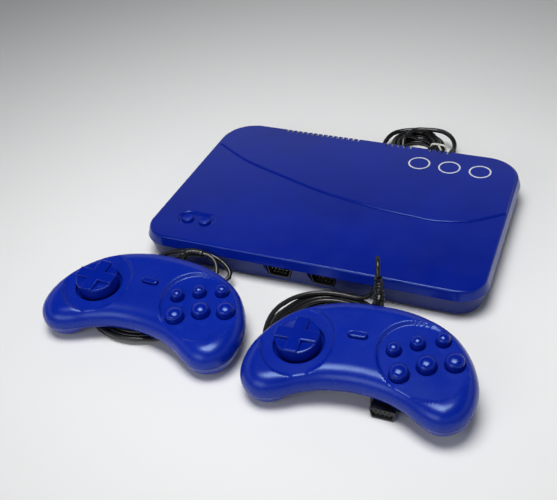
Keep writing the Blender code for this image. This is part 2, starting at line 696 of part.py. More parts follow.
def build_pads(frame):
    shared = {
        "upper_shell": (pad_upper_shell(), BLUE),
        "lower_shell": (pad_lower_shell(), BLUE),
        "circuit_board": (loft([pad_ring(7.0, z) for z in (11.6, 13.2)]), BOARD),
        "rubber_mat": (loft([pad_ring(9.0, z) for z in (13.6, 14.8)]), RUBBER),
    }
    plug = pad_plug()
    direction = dpad()
    pivot = turned([(0.0, 16.9), (2.4, 16.9), (2.4, 15.2), (0.0, 15.2)], 12)
    start = start_button()
    caps = {name: face_button(r, top) for name, (_, _, r, top) in FACE_BUTTONS.items()}
    for side, pose in PADS.items():
        turn = (Matrix.Rotation(math.radians(pose["yaw"]), 4, "Z")
                @ Matrix.Rotation(math.radians(pose["tilt"]), 4, "X")
                @ Matrix.Rotation(math.radians(pose["roll"]), 4, "Y"))
        pad = empty(side + "_pad", frame, Matrix.Translation(Vector(pose["at"]) * MM) @ turn)
        for name, (mesh, finish) in shared.items():
            place("%s_pad_%s" % (side, name), mesh, finish, pad)
        place(side + "_pad_dpad", direction, BUTTON_BLUE, pad, (*DPAD_AT, 0.0))
        place(side + "_pad_dpad_pivot", pivot, BLACK, pad, (*DPAD_AT, 0.0))
        place(side + "_pad_start_button", start, BUTTON_BLUE, pad, (*START_AT, 0.0))
        for name, (x, y, _, _) in FACE_BUTTONS.items():
            place("%s_pad_%s" % (side, name), caps[name], BUTTON_BLUE, pad, (x, y, 0.0))
        route = smooth_route(RELIEF_ROUTES[side], 3.0)
        radii = [3.5 - 1.5 * k / (len(route) - 1) for k in range(len(route))]
        place(side + "_pad_strain_relief", tube(route, radii), PVC, pad)
        build_pad_cord(side, frame, plug)


def build_pad_cord(side, frame, plug):
    spacing = 2.4 * PAD_CORD
    route = smooth_route(CORD_ROUTES[side], spacing)
    tail = smooth_route(TAIL_ROUTES[side], spacing)
    place(side + "_pad_cord", tube(route, PAD_CORD / 2.0), PVC, frame)
    place(side + "_pad_cord_tail", tube(tail, PAD_CORD / 2.0), PVC, frame)
    ring = coil(PAD_COIL_MEAN, PAD_COIL_WIDE, PAD_COIL_TALL, 0.1)
    place(side + "_pad_cord_coil", ring, PVC, frame, (*PAD_COILS[side], 0.0))
    place(side + "_pad_plug", plug, BLACK, frame, PLUGS[side]["at"], PLUGS[side]["turn"])


SET_ROOT = empty("set_root", None, Matrix.Translation(Vector(SET_SHIFT) * MM))
build_console(SET_ROOT)
build_video_cord(SET_ROOT)
build_pads(SET_ROOT)
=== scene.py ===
# %% [markdown]
# # A game console with two control pads
#
# The real set is a flat console moulded in glossy blue ABS, with a black video cord that
# never comes off, and two kidney-shaped control pads on black cords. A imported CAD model
# already holds every size and every joint. This lesson dresses that model: it makes each
# visible piece again with finer edges, and gives each one the finish of the real thing.
#
# All lengths are in millimetres, in the console's own frame: X to the right, Y to the
# back, Z up, with zero under the middle of the front lip.

# %% Load the fixed frame
import json
import math

import bmesh
import bpy
import numpy as np
from mathutils import Matrix, Vector


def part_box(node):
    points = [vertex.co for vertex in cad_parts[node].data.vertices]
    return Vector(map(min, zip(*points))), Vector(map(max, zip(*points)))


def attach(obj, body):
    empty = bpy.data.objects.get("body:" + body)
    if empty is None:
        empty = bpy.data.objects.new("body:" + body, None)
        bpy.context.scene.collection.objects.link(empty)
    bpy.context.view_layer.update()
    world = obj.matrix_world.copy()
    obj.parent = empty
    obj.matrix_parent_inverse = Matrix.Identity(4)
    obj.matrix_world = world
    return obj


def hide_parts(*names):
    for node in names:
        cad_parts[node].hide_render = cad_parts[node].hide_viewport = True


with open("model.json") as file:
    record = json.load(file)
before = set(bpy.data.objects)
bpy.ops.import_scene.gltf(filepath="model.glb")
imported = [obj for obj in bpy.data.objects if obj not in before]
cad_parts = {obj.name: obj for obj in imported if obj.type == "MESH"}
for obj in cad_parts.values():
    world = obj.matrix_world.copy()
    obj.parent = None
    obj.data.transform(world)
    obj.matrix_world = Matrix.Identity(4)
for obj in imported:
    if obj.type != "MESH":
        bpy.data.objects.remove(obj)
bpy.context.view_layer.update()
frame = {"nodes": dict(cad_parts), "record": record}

MM = 0.001
SET_SHIFT = Vector((7.6, -26.8, 0.0))
CONSOLE = Matrix.Translation(SET_SHIFT * MM)

# %% [markdown]
# ## The camera
#
# A camera is placed by a point and three turns. Yaw walks round the set, pitch looks
# down on it, and roll tips the horizon a little, as a hand-held camera does. The lens is
# a short telephoto, which keeps the console's sides almost parallel.

# %% Camera
CAMERA_AT = Vector((204.6, -482.4, 432.9))
CAMERA_YAW, CAMERA_PITCH, CAMERA_ROLL = 24.57, 37.1, -4.9
LENS = 61.8


def turn(degrees, axis):
    return Matrix.Rotation(math.radians(degrees), 4, axis)


def shift(*at):
    """A move by millimetres."""
    return Matrix.Translation(Vector(at) * MM)


def shown(name, data):
    made = bpy.data.objects.new(name, data)
    bpy.context.scene.collection.objects.link(made)
    return made


camera_data = bpy.data.cameras.new("camera")
camera_data.lens = LENS
camera = shown("camera", camera_data)
camera.matrix_world = (shift(*(CAMERA_AT + SET_SHIFT))
                       @ turn(CAMERA_YAW, "Z") @ turn(90.0 - CAMERA_PITCH, "X")
                       @ turn(CAMERA_ROLL, "Z"))
bpy.context.scene.camera = camera

# %% [markdown]
# ## Colours and shader nodes
#
# Colours are picked as sRGB hex values, but the renderer works in linear light, so one
# function converts them. A second small function adds a shader node, with its settings
# and its links, and every finish below is a short list of such nodes.

# %% Colour and node helpers
def linear(code):
    channels = [int(code[i:i + 2], 16) / 255.0 for i in (0, 2, 4)]
    return (*[c / 12.92 if c <= 0.04045 else ((c + 0.055) / 1.055) ** 2.4
              for c in channels], 1.0)


def add(tree, kind, inputs=(), **settings):
    """Add one node. inputs maps socket names to a value or to another node's output."""
    node = tree.nodes.new(kind)
    for name, value in settings.items():
        setattr(node, name, value)
    for name, value in dict(inputs).items():
        if isinstance(value, bpy.types.NodeSocket):
            tree.links.new(value, node.inputs[name])
        else:
            node.inputs[name].default_value = value
    return node


def finish(name, colour, roughness, **uniform):
    """A new material: its tree, its Principled shader and its object coordinates."""
    made = bpy.data.materials.new(name)
    made.use_nodes = True
    tree = made.node_tree
    shader = tree.nodes["Principled BSDF"]
    shader.inputs["Base Color"].default_value = linear(colour)
    shader.inputs["Roughness"].default_value = roughness
    for socket, value in uniform.items():
        shader.inputs[socket.replace("_", " ")].default_value = value
    place = add(tree, "ShaderNodeTexCoord").outputs["Object"]
    return made, tree, shader, place


def per_metre(size_mm):
    """The scale of a pattern whose features are size_mm apart."""
    return 1000.0 / size_mm


def spread(tree, value, low, high):
    """Map a 0 to 1 noise value to a range."""
    return add(tree, "ShaderNodeMapRange", {"Value": value, "From Min": 0.3, "From Max": 0.7,
                                            "To Min": low, "To Max": high}).outputs["Result"]


def noise(tree, place, size_mm, detail=2.0):
    """A 0 to 1 noise value whose patches are size_mm apart."""
    return add(tree, "ShaderNodeTexNoise", {"Vector": place, "Scale": per_metre(size_mm),
                                            "Detail": detail}).outputs["Fac"]


def mottled(tree, shader, value, light, dark):
    """Let a noise value blend two close shades."""
    tint = add(tree, "ShaderNodeMix", {"Factor": spread(tree, value, 0.0, 1.0),
                                       6: linear(light), 7: linear(dark)}, data_type="RGBA")
    tree.links.new(tint.outputs[2], shader.inputs["Base Color"])


def handled(tree, shader, value, low, high):
    """Let a noise value set the roughness."""
    tree.links.new(spread(tree, value, low, high), shader.inputs["Roughness"])


def bumped(tree, shader, height, depth_mm, strength=1.0):
    bump = add(tree, "ShaderNodeBump", {"Height": height, "Distance": depth_mm * MM,
                                        "Strength": strength})
    tree.links.new(bump.outputs["Normal"], shader.inputs["Normal"])


# %% [markdown]
# ## Finishes
#
# **Glossy ABS.** The casings are injection-moulded ABS with the blue mixed into the
# resin. The mould is polished, so the eye gets a clear, slightly wavy reflection. ABS
# has an IOR of about 1.54. The colour wanders very slightly with the flow of the resin,
# handling leaves soft patches where the gloss is lower, and the skin ripples a few
# hundredths of a millimetre. The gloss is tinted slightly blue: that isn't how ABS
# behaves, but it keeps the pale room from greying the colour.

# %% Blue ABS
CASING_BLUE, CASING_DEEP = "021c8c", "02187e"
FLOW_MM, HANDLING_MM, RIPPLE_MM, RIPPLE_DEPTH_MM = 55.0, 18.0, 7.0, 0.03


def moulded_abs(name, light, dark, gloss, shine=0.5):
    made, tree, shader, place = finish(name, light, gloss, IOR=1.54,
                                       Specular_IOR_Level=shine,
                                       Specular_Tint=linear("bcdcff"))
    mottled(tree, shader, noise(tree, place, FLOW_MM, 3.0), light, dark)
    touch = noise(tree, place, HANDLING_MM, 4.0)
    handled(tree, shader, touch, gloss - 0.03, gloss + 0.05)
    bumped(tree, shader, noise(tree, place, RIPPLE_MM, 1.0), RIPPLE_DEPTH_MM, 0.35)
    return made


casing_abs = moulded_abs("moulded_blue_abs", CASING_BLUE, CASING_DEEP, 0.17)
# The pads' blue is painted lighter than the lid's. This is painted light for their lobes, which
# face the soft box.
painted_light_pad_abs = moulded_abs("moulded_painted_light_pad_abs", "04249c", "031f90", 0.26)
# The lower shell's blue is painted darker than the lid's, as painted shade under the lip. Its
# rougher gloss and weaker shine are its textured moulding.
painted_shade_base_abs = moulded_abs("textured_blue_abs_with_painted_shade", "021772", "021462", 0.4, 0.3)
key_abs = moulded_abs("moulded_key_abs", "031f94", "021a86", 0.18)

# %% [markdown]
# **Black plastics.** The cords wear soft PVC, extruded and therefore smooth along their
# length, with a faint drag line. Plugs and sockets are moulded ABS with a fine spark
# texture. Feet are natural rubber with a little dust.

# %% Black PVC, ABS and rubber
PATCH_GRAINS = 12.0


def grained(name, light, dark, gloss, grain_mm, depth_mm, **uniform):
    """A plastic or rubber with a fine moulded grain and two close shades."""
    made, tree, shader, place = finish(name, light, gloss, **uniform)
    patch = noise(tree, place, grain_mm * PATCH_GRAINS, 5.0)
    mottled(tree, shader, patch, light, dark)
    handled(tree, shader, patch, gloss - 0.05, gloss + 0.07)
    bumped(tree, shader, noise(tree, place, grain_mm), depth_mm, 0.5)
    return made


cord_pvc = grained("extruded_black_pvc", "0d0d0f", "17171a", 0.26, 1.6, 0.03, IOR=1.53)
plug_abs = grained("spark_textured_black_abs", "111113", "1b1b1e", 0.42, 0.5, 0.04, IOR=1.54)
foot_rubber = grained("moulded_black_rubber", "161616", "232322", 0.8, 0.8, 0.06, IOR=1.52)
mat_silicone = grained("moulded_grey_silicone", "8f9294", "7d8083", 0.62, 1.0, 0.03, IOR=1.41)
chip_epoxy = grained("moulded_black_epoxy", "131314", "1e1e20", 0.55, 0.4, 0.03, IOR=1.55)
tie_paper = grained("paper_covered_wire", "ecebe4", "d8d6cc", 0.62, 0.7, 0.08, IOR=1.45)

# %% [markdown]
# **Board and metals.** The circuit board is glass-fibre laminate under green lacquer,
# and its tracks show as fine raised lines. Screws are zinc-plated steel, drawn as
# turned metal, and the connector pins are nickel over brass.

# %% Circuit board, zinc and nickel
TRACK_MM = 2.5


def lacquered_board():
    made, tree, shader, place = finish("green_lacquered_laminate", "14632f", 0.35, IOR=1.55)
    cells = add(tree, "ShaderNodeTexBrick", {
        "Vector": place, "Scale": per_metre(TRACK_MM * 2.0), "Color1": linear("14632f"),
        "Color2": linear("1a7338"), "Mortar": linear("0e4a24"), "Mortar Size": 0.05})
    tree.links.new(cells.outputs["Color"], shader.inputs["Base Color"])
    bumped(tree, shader, cells.outputs["Fac"], -0.05)
    return made


def plated(name, light, dark, gloss, streak_mm):
    made, tree, shader, place = finish(name, light, gloss, Metallic=1.0)
    stretched = add(tree, "ShaderNodeMapping", {"Vector": place, "Scale": (1.0, 1.0, 8.0)})
    streak = noise(tree, stretched.outputs["Vector"], streak_mm, 6.0)
    mottled(tree, shader, streak, light, dark)
    handled(tree, shader, streak, gloss - 0.06, gloss + 0.1)
    return made


board_laminate = lacquered_board()
screw_zinc = plated("zinc_plated_steel", "c3c6ca", "a4a8ad", 0.32, 1.5)
pin_nickel = plated("nickel_plated_brass", "cfc9b8", "b5ae9b", 0.22, 1.0)

# %% [markdown]
# ## Curves through a few points
#
# Moulded plastic has no straight-line corners, so outlines and cord routes are drawn
# through a few points by a Catmull-Rom curve, which passes through every one of them.

# %% Curve helper
def spline(points, steps):
    knots = [Vector(p) for p in points]
    knots = [knots[0] * 2 - knots[1]] + knots + [knots[-1] * 2 - knots[-2]]
    curve = []
    for a, b, c, d in zip(knots, knots[1:], knots[2:], knots[3:]):
        for step in range(steps):
            t = step / steps
            curve.append(0.5 * (2 * b + (c - a) * t + (2 * a - 5 * b + 4 * c - d) * t ** 2
                                + (3 * b - a - 3 * c + d) * t ** 3))
    return curve + [knots[-2]]


def even(points, spacing):
    """The same line, with its points at an even spacing."""
    legs = [(q - p).length for p, q in zip(points, points[1:])]
    count = max(2, round(sum(legs) / spacing))
    stations = np.concatenate([[0.0], np.cumsum(legs)])
    goals = np.linspace(0.0, stations[-1], count + 1)
    axes = [np.interp(goals, stations, [p[k] for p in points]) for k in range(3)]
    return [Vector(p) for p in zip(*axes)]


def length_of(points):
    return sum((q - p).length for p, q in zip(points, points[1:]))


# %% [markdown]
# ## Cords
#
# A cord is one length of soft PVC, so each cord is one curve from the piece it leaves to
# its plug. The loose stretches are given routes. The coil is worked out: the
# cord runs round a centre in lanes, each one diameter from its neighbour, and it changes
# lane inside a short arc of each turn, always at the same side, so that neighbouring
# turns never touch. A list of stops (degrees wound, radius, height) says where.

# %% Winding helper
def wound(centre, first_degrees, way, stops):
    """Points along a coil: radius and height ease from one stop to the next."""
    points = []
    for (start, r0, z0), (stop, r1, z1) in zip(stops, stops[1:]):
        pieces = max(2, round((stop - start) / 9.0))
        for k in range(pieces):
            t = k / pieces
            soft = t * t * (3.0 - 2.0 * t)
            angle = math.radians(first_degrees + way * (start + (stop - start) * t))
            radius = r0 + (r1 - r0) * soft
            points.append(Vector((centre[0] + radius * math.cos(angle),
                                  centre[1] + radius * math.sin(angle),
                                  z0 + (z1 - z0) * soft)))
    return points


def lane_changes(lanes, first_change, arc=50.0):
    """Stops for whole turns in the given (radius, height) lanes, one change a turn."""
    stops = []
    for k, (one, two) in enumerate(zip(lanes, lanes[1:])):
        stops += [(first_change + 360.0 * k, *one), (first_change + 360.0 * k + arc, *two)]
    return stops


def tube(name, points, radius, rounds):
    """A round tube along a line of points."""
    curve = bpy.data.curves.new(name, "CURVE")
    curve.dimensions = "3D"
    curve.bevel_depth = radius * MM
    curve.bevel_resolution = rounds
    curve.use_fill_caps = True
    line = curve.splines.new("POLY")
    line.points.add(len(points) - 1)
    for i, point in enumerate(points):
        line.points[i].co = (*(point * MM), 1.0)
    line.use_smooth = True
    return shown(name, curve)


def cord_curve(name, points, diameter, body, nodes):
    made = tube(name, [point + SET_SHIFT for point in points], diameter / 2.0, 4)
    made.data.materials.append(cord_pvc)
    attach(made, body)
    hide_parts(*nodes)
    return made


# %% [markdown]
# Each pad cord drops behind its pad, runs into a flat coil four turns across and two
# high that the pad lies on, and ends in a nine-way plug. The left one enters from the
# top, slips inside the ring and winds outwards first. The right one winds inwards first.

# %% The pad cords
PAD_CORD = 3.3
PAD_LANE = [28.8 + PAD_CORD * (k + 0.5) for k in range(4)]
LOW, HIGH, OVER = 1.75, 5.05, 8.8
CORD_ROUTES = {
    "left": [(-70.9, -8.8, 22.8), (-66.0, -8.8, 22.0), (-61.6, -10.6, 19.6),
             (-58.4, -14.8, 16.2), (-57.0, -20.4, 13.0), (-57.0, -27.0, 10.2),
             (-57.8, -34.0, 8.9), (-58.6, -40.0, 8.8)],
    "right": [(62.1, -20.1, 42.1), (61.6, -18.6, 45.2), (60.8, -15.8, 48.2),
              (59.4, -11.6, 49.0), (58.2, -7.8, 46.6), (57.6, -5.4, 41.0), (57.2, -4.8, 33.0),
              (56.4, -4.8, 24.0), (54.4, -5.2, 15.4), (50.0, -6.6, 10.4),
              (43.0, -7.4, 8.8), (32.0, -7.2, 8.8), (20.0, -8.8, 8.8),
              (9.4, -13.4, 8.8), (1.0, -21.0, 8.8), (-4.6, -31.0, 8.8)],
}
TAIL_ROUTES = {
    "left": [(-131.6, -30.0, 8.8), (-126.2, -22.0, 8.8), (-118.6, -15.4, 9.4),
             (-109.0, -10.4, 12.4), (-98.0, -6.4, 16.6), (-86.0, -4.3, 19.4),
             (-74.0, -4.2, 20.0), (-64.0, -4.6, 18.0), (-55.6, -6.2, 14.0),
             (-50.6, -10.2, 10.6), (-50.6, -15.4, 9.0), (-55.0, -18.6, 8.8),
             (-61.0, -19.8, 8.8), (-66.0, -22.6, 8.8), (-69.8, -26.2, 8.8),
             (-73.2, -30.2, 8.9), (-77.2, -33.8, 7.2), (-81.2, -36.6, 5.0),
             (-83.2, -38.0, 4.5)],
    "right": [(76.6, -38.0, 1.9), (77.2, -32.0, 1.9), (81.4, -27.4, 1.9),
              (86.4, -28.4, 2.2), (89.0, -34.2, 3.2), (89.2, -43.0, 4.4),
              (89.2, -52.0, 4.6), (89.2, -66.1, 4.6)],
}
LEFT_STOPS = (
    [(0.0, 39.2, OVER), (60.0, 27.0, OVER), (110.0, 27.0, LOW), (140.0, PAD_LANE[0], LOW)]
    + lane_changes([(r, LOW) for r in PAD_LANE], 450.0)
    + [(1480.0, PAD_LANE[3], LOW), (1530.0, PAD_LANE[3], HIGH)]
    + lane_changes([(r, HIGH) for r in reversed(PAD_LANE)], 1790.0)
    + [(2650.0, PAD_LANE[0], HIGH), (2690.0, PAD_LANE[0] + 0.6, OVER), (2739.0, 39.0, OVER)])
RIGHT_STOPS = (
    [(0.0, 39.8, OVER), (50.0, PAD_LANE[3], HIGH)]
    + lane_changes([(r, HIGH) for r in reversed(PAD_LANE)], 310.0)
    + [(1340.0, PAD_LANE[0], HIGH), (1390.0, PAD_LANE[0], LOW)]
    + lane_changes([(r, LOW) for r in PAD_LANE], 1650.0)
    + [(2676.0, PAD_LANE[3], LOW), (2726.0, 44.0, 1.9)])
PAD_WINDINGS = {"left": ((-97.0, -48.0), 11.8, -1, LEFT_STOPS),
                "right": ((33.0, -44.0), 161.0, 1, RIGHT_STOPS)}

pad_leads = {}
for side, (centre, first, way, stops) in PAD_WINDINGS.items():
    loose = even(spline(CORD_ROUTES[side], 12), 4.0)
    tail = even(spline(TAIL_ROUTES[side], 12), 4.0)
    path = loose[:-1] + wound(centre, first, way, stops) + tail
    pad = side + "_pad"
    lead = cord_curve(pad + "_lead", path, PAD_CORD, pad,
                      [pad + "_cord", pad + "_cord_coil", pad + "_cord_tail"])
    pad_leads[side] = (lead, path)

# %% [markdown]
# The video cord leaves the back in a moulded boot, swings round in one loose loop and is
# wound three turns across and three high, as it is packed for sale, then ends in its
# plug. It climbs on the outside and the inside of the ring in turn.

# %% The video cord
VIDEO_CORD = 3.7
VIDEO_LANE = [15.0, 18.9, 22.8]
VIDEO_LAYER = [2.7, 6.4, 10.1]
VIDEO_CENTRE = (29.5, 197.0)
VIDEO_ROUTE = [
    (62.0, 193.0, 10.4), (61.8, 198.4, 10.6), (60.2, 204.2, 11.6), (56.0, 210.0, 13.2),
    (49.6, 213.8, 14.4), (42.4, 215.4, 14.4), (35.4, 214.8, 14.4), (28.8, 213.4, 14.4)]
VIDEO_TAIL = [(1.4, 190.6, 3.0), (0.6, 184.4, 3.2), (-3.4, 179.6, 4.0), (-9.7, 178.2, 4.8)]
VIDEO_STOPS = (
    [(0.0, 16.4, 14.4), (60.0, 11.0, 13.4), (160.0, 11.0, 2.7), (200.0, 15.0, 2.7)]
    + lane_changes([(r, VIDEO_LAYER[0]) for r in VIDEO_LANE], 510.0)
    + [(1180.0, 22.8, VIDEO_LAYER[0]), (1230.0, 22.8, VIDEO_LAYER[1])]
    + lane_changes([(r, VIDEO_LAYER[1]) for r in reversed(VIDEO_LANE)], 1490.0)
    + [(2160.0, 15.0, VIDEO_LAYER[1]), (2210.0, 15.0, VIDEO_LAYER[2])]
    + lane_changes([(r, VIDEO_LAYER[2]) for r in VIDEO_LANE], 2470.0)
    + [(2895.0, 22.8, VIDEO_LAYER[2]), (2940.0, 27.2, 8.8), (2980.0, 28.8, 3.0)])

video_path = (even(spline(VIDEO_ROUTE, 12), 3.0)[:-1]
              + wound(VIDEO_CENTRE, 92.4, 1, VIDEO_STOPS) + even(spline(VIDEO_TAIL, 12), 3.0))
video_lead = cord_curve("video_lead", video_path, VIDEO_CORD, "console",
                        ["video_cord", "video_cord_coil", "video_cord_tail"])

# %% [markdown]
# ## Floor and light
#
# The set stands on white paper under one soft box, high above it. Its narrow spread
# leaves the paper's edges darker. A weaker second box at the front fills the shadows. The
# room does the rest: its walls pass from grey at the foot to a pale band, and its ceiling
# is dark.

# %% Floor
FLOOR_SIZE = 6.0


def seamless_paper():
    made, tree, shader, place = finish("matt_seamless_paper", "ececec", 0.75)
    bumped(tree, shader, noise(tree, place, 3.0), 0.05, 0.2)
    return made


floor_mesh = bpy.data.meshes.new("floor")
work = bmesh.new()
bmesh.ops.create_grid(work, x_segments=2, y_segments=2, size=FLOOR_SIZE / 2.0)
work.to_mesh(floor_mesh)
work.free()
floor = shown("floor", floor_mesh)
floor_mesh.materials.append(seamless_paper())


# %% Lights
def soft_box(name, at, aim, size, watts, spread_degrees):
    lamp = bpy.data.lights.new(name, "AREA")
    lamp.shape = "RECTANGLE"
    lamp.size, lamp.size_y = size
    lamp.energy = watts
    lamp.spread = math.radians(spread_degrees)
    made = shown(name, lamp)
    heading = Vector(aim) - Vector(at)
    made.matrix_world = (Matrix.Translation(Vector(at))
                         @ heading.to_track_quat("-Z", "Y").to_matrix().to_4x4())
    return made


soft_box("key_box", (-0.02, -0.16, 1.0), (0.03, 0.0, 0.0), (0.62, 0.5), 2.0, 74.0)
soft_box("front_box", (-0.3, -1.0, 0.55), (0.0, -0.05, 0.0), (0.7, 0.4), 0.9, 120.0)
bpy.context.scene.view_settings.view_transform = "Standard"


# %% World
WALL, LOW_WALL, CEILING = linear("c0c4c6"), linear("6c6e70"), linear("121314")
world = bpy.data.worlds.new("studio")
world.use_nodes = True
tree = world.node_tree
heading = add(tree, "ShaderNodeTexCoord").outputs["Generated"]
rise = add(tree, "ShaderNodeSeparateXYZ", {"Vector": heading}).outputs["Z"]


def between(low_degrees, high_degrees, under, over):
    """Blend two colours from one elevation to another."""
    share = add(tree, "ShaderNodeMapRange", {
        "Value": rise, "From Min": math.sin(math.radians(low_degrees)),
        "From Max": math.sin(math.radians(high_degrees))}, interpolation_type="SMOOTHSTEP")
    return add(tree, "ShaderNodeMix", {"Factor": share.outputs["Result"], 6: under, 7: over},
               data_type="RGBA").outputs[2]


room = between(27.0, 40.0, between(8.0, 24.0, LOW_WALL, WALL), CEILING)
tree.links.new(room, tree.nodes["Background"].inputs["Color"])
bpy.context.scene.world = world

# %% [markdown]
# ## Mesh helpers
#
# A moulded casing is a stack of outlines, so most shells start as a loft: closed rings
# of points, skinned from the lowest to the highest. Round pieces are turned from a
# profile, and openings are cut by exact Booleans, in the order a toolmaker would.

# %% Loft, turn and cut
SHARP_DEGREES = 32.0


def smoothed(mesh):
    mesh.shade_smooth()
    mesh.set_sharp_from_angle(angle=math.radians(SHARP_DEGREES))
    return mesh


def finished(work):
    mesh = bpy.data.meshes.new("piece")
    bmesh.ops.recalc_face_normals(work, faces=work.faces)
    work.to_mesh(mesh)
    work.free()
    return smoothed(mesh)


def band(work, one, two):
    """Faces between two closed rings with as many points as each other."""
    for i in range(len(one)):
        j = (i + 1) % len(one)
        work.faces.new((one[i], one[j], two[j], two[i]))


def loft(rings):
    work = bmesh.new()
    rows = [[work.verts.new(Vector(p) * MM) for p in ring] for ring in rings]
    for low, high in zip(rows, rows[1:]):
        band(work, low, high)
    work.faces.new(list(reversed(rows[0])))
    work.faces.new(rows[-1])
    return finished(work)


def turned(profile, at=(0.0, 0.0, 0.0), steps=64):
    """Turn a (radius, height) profile that starts and ends on the axis."""
    work = bmesh.new()
    rings = []
    for radius, height in profile:
        if radius < 1e-6:
            rings.append([work.verts.new(Vector((0.0, 0.0, height)) * MM)])
            continue
        rings.append([work.verts.new(Vector((radius * math.cos(math.tau * k / steps),
                                             radius * math.sin(math.tau * k / steps),
                                             height)) * MM) for k in range(steps)])
    for one, two in zip(rings, rings[1:]):
        for k in range(steps):
            j = (k + 1) % steps
            corners = [one[k % len(one)], one[j % len(one)], two[j % len(two)],
                       two[k % len(two)]]
            corners = [v for i, v in enumerate(corners) if v not in corners[:i]]
            if len(corners) > 2:
                work.faces.new(corners)
    mesh = finished(work)
    mesh.transform(shift(*at))
    return mesh


def drill(radius, depth):
    """The profile of a straight round tool, for turned and along_y."""
    return [(0.0, depth), (radius, depth), (radius, 0.0), (0.0, 0.0)]


def block(size, at=(0.0, 0.0, 0.0), bevel=0.0, rounds=3):
    work = bmesh.new()
    bmesh.ops.create_cube(work, size=1.0)
    bmesh.ops.scale(work, vec=Vector(size) * MM, verts=work.verts)
    if bevel:
        bmesh.ops.bevel(work, geom=work.edges[:], offset=bevel * MM, segments=rounds,
                        affect="EDGES", profile=0.5)
    bmesh.ops.translate(work, vec=Vector(at) * MM, verts=work.verts)
    return finished(work)


def carve(mesh, operation, tools):
    """Cut or join meshes with exact Booleans, and return the result as one mesh."""
    body = shown("maker", mesh)
    helpers = []
    for tool in tools:
        helper = shown("helper", tool)
        step = body.modifiers.new("cut", "BOOLEAN")
        step.operation = operation
        step.object = helper
        step.solver = "EXACT"
        helpers.append(helper)
    graph = bpy.context.evaluated_depsgraph_get()
    result = bpy.data.meshes.new_from_object(body.evaluated_get(graph))
    for item in helpers + [body]:
        bpy.data.objects.remove(item, do_unlink=True)
    result.materials.clear()
    return smoothed(result)


def piece(name, mesh, material, body, place, nodes=()):
    """Show a mesh as one piece of the object, riding on a body."""
    mesh.transform(place)
    mesh.materials.append(material)
    made = shown(name, mesh)
    made.modifiers.new("even_shade", "WEIGHTED_NORMAL").keep_sharp = True
    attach(made, body)
    if nodes:
        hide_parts(*nodes)
    return made


# %% [markdown]
# ## The console's outline
#
# Seen from above the console is a rounded rectangle, a little narrower at the back. The
# same outline, grown or shrunk, gives every level of both shells.

# %% Console outline
LIP_HALF_FRONT, LIP_HALF_BACK, LIP_DEPTH = 126.0, 123.4, 168.5
FRONT_RADIUS, BACK_RADIUS = 19.0, 27.0
LIP_HEIGHT, CROWN_HEIGHT, PARTING_HEIGHT = 24.6, 25.7, 17.1


def console_outline(grow, height, segments=20):
    corners = [
        (LIP_HALF_FRONT - FRONT_RADIUS, FRONT_RADIUS, FRONT_RADIUS, -90.0),
        (LIP_HALF_BACK - BACK_RADIUS, LIP_DEPTH - BACK_RADIUS, BACK_RADIUS, 0.0),
        (BACK_RADIUS - LIP_HALF_BACK, LIP_DEPTH - BACK_RADIUS, BACK_RADIUS, 90.0),
        (FRONT_RADIUS - LIP_HALF_FRONT, FRONT_RADIUS, FRONT_RADIUS, 180.0),
    ]
    ring = []
    for x, y, radius, first in corners:
        for step in range(segments + 1):
            angle = math.radians(first + 90.0 * step / segments)
            reach = radius + grow
            ring.append((x + reach * math.cos(angle), y + reach * math.sin(angle), height))
    return ring


def stadium(length, width, height, at=(0.0, 0.0), segments=14):
    """A slot outline: two half circles joined by straight sides along X."""
    ring = []
    radius = width / 2.0
    for side in (1.0, -1.0):
        for step in range(segments + 1):
            angle = math.radians(-90.0 + 180.0 * step / segments)
            ring.append((at[0] + side * (length / 2.0 - radius + radius * math.cos(angle)),
                         at[1] + side * radius * math.sin(angle), height))
    return ring


def d_outline(width, tall, y, at, cut=1.1):
    """A D-shaped connector outline in the XZ plane, wider at the top."""
    x, z = at
    half, rise, slope = width / 2.0, tall / 2.0, tall * 0.18
    half_points = [(half - cut, rise), (half - cut * 0.3, rise - cut * 0.3),
                   (half, rise - cut), (half - slope, cut - rise),
                   (half - slope - cut * 0.3, cut * 0.3 - rise), (half - slope - cut, -rise)]
    points = half_points + [(-px, pz) for px, pz in reversed(half_points)]
    return [(x + px, y, z + pz) for px, pz in points]


# %% [markdown]
# ## The lid
#
# The lid is the piece that the eye meets first. Its rim rolls over in a small radius
# that catches a bright line. The back half is raised by about a millimetre, and the front
# edge of that raised part is one long wave. Rows of cooling slots run through the back
# edge, cut about two millimetres deeper than in the CAD model, and two small push
# buttons sit in a sunk lozenge at the front left.

# %% Lid blank: the rolled rim
def lid_blank():
    profile = [(1.75, 17.25), (2.0, 17.55), (1.5, 19.3), (1.0, 21.0), (0.5, 22.6),
               (0.25, 23.4), (0.0, 23.9), (-0.2, 24.15), (-0.45, 24.38), (-0.8, 24.55),
               (-1.3, LIP_HEIGHT)]
    return loft([console_outline(grow, height) for grow, height in profile])


# %% Raised back with its wave
CROWN_WAVE = [
    (-122.2, 131.8), (-89.3, 112.1), (-54.2, 98.8), (-16.2, 86.0), (26.6, 77.0),
    (58.0, 73.4), (78.0, 72.4), (98.0, 77.6), (111.6, 86.0), (123.6, 95.6),
]


def shrunk(ring, by):
    """Move each point of a closed plan outline inwards, square to the outline."""
    moved = []
    for i, (x, y) in enumerate(ring):
        ahead, behind = ring[(i + 1) % len(ring)], ring[i - 1]
        along = Vector((ahead[0] - behind[0], ahead[1] - behind[1])).normalized()
        moved.append((x - along.y * by, y + along.x * by))
    return moved


def crown():
    wave = [(p.x, p.y) for p in spline(CROWN_WAVE, 10)]
    rim = [(x, y) for x, y, _ in console_outline(-1.5, 0.0) if y > LIP_DEPTH / 2]
    edge = wave + rim
    steps = [(0.0, 22.6), (0.0, 24.7), (0.05, 25.0), (0.2, 25.3), (0.45, 25.52),
             (0.8, 25.65), (1.3, CROWN_HEIGHT)]
    return loft([[(x, y, z) for x, y in shrunk(edge, by)] for by, z in steps])


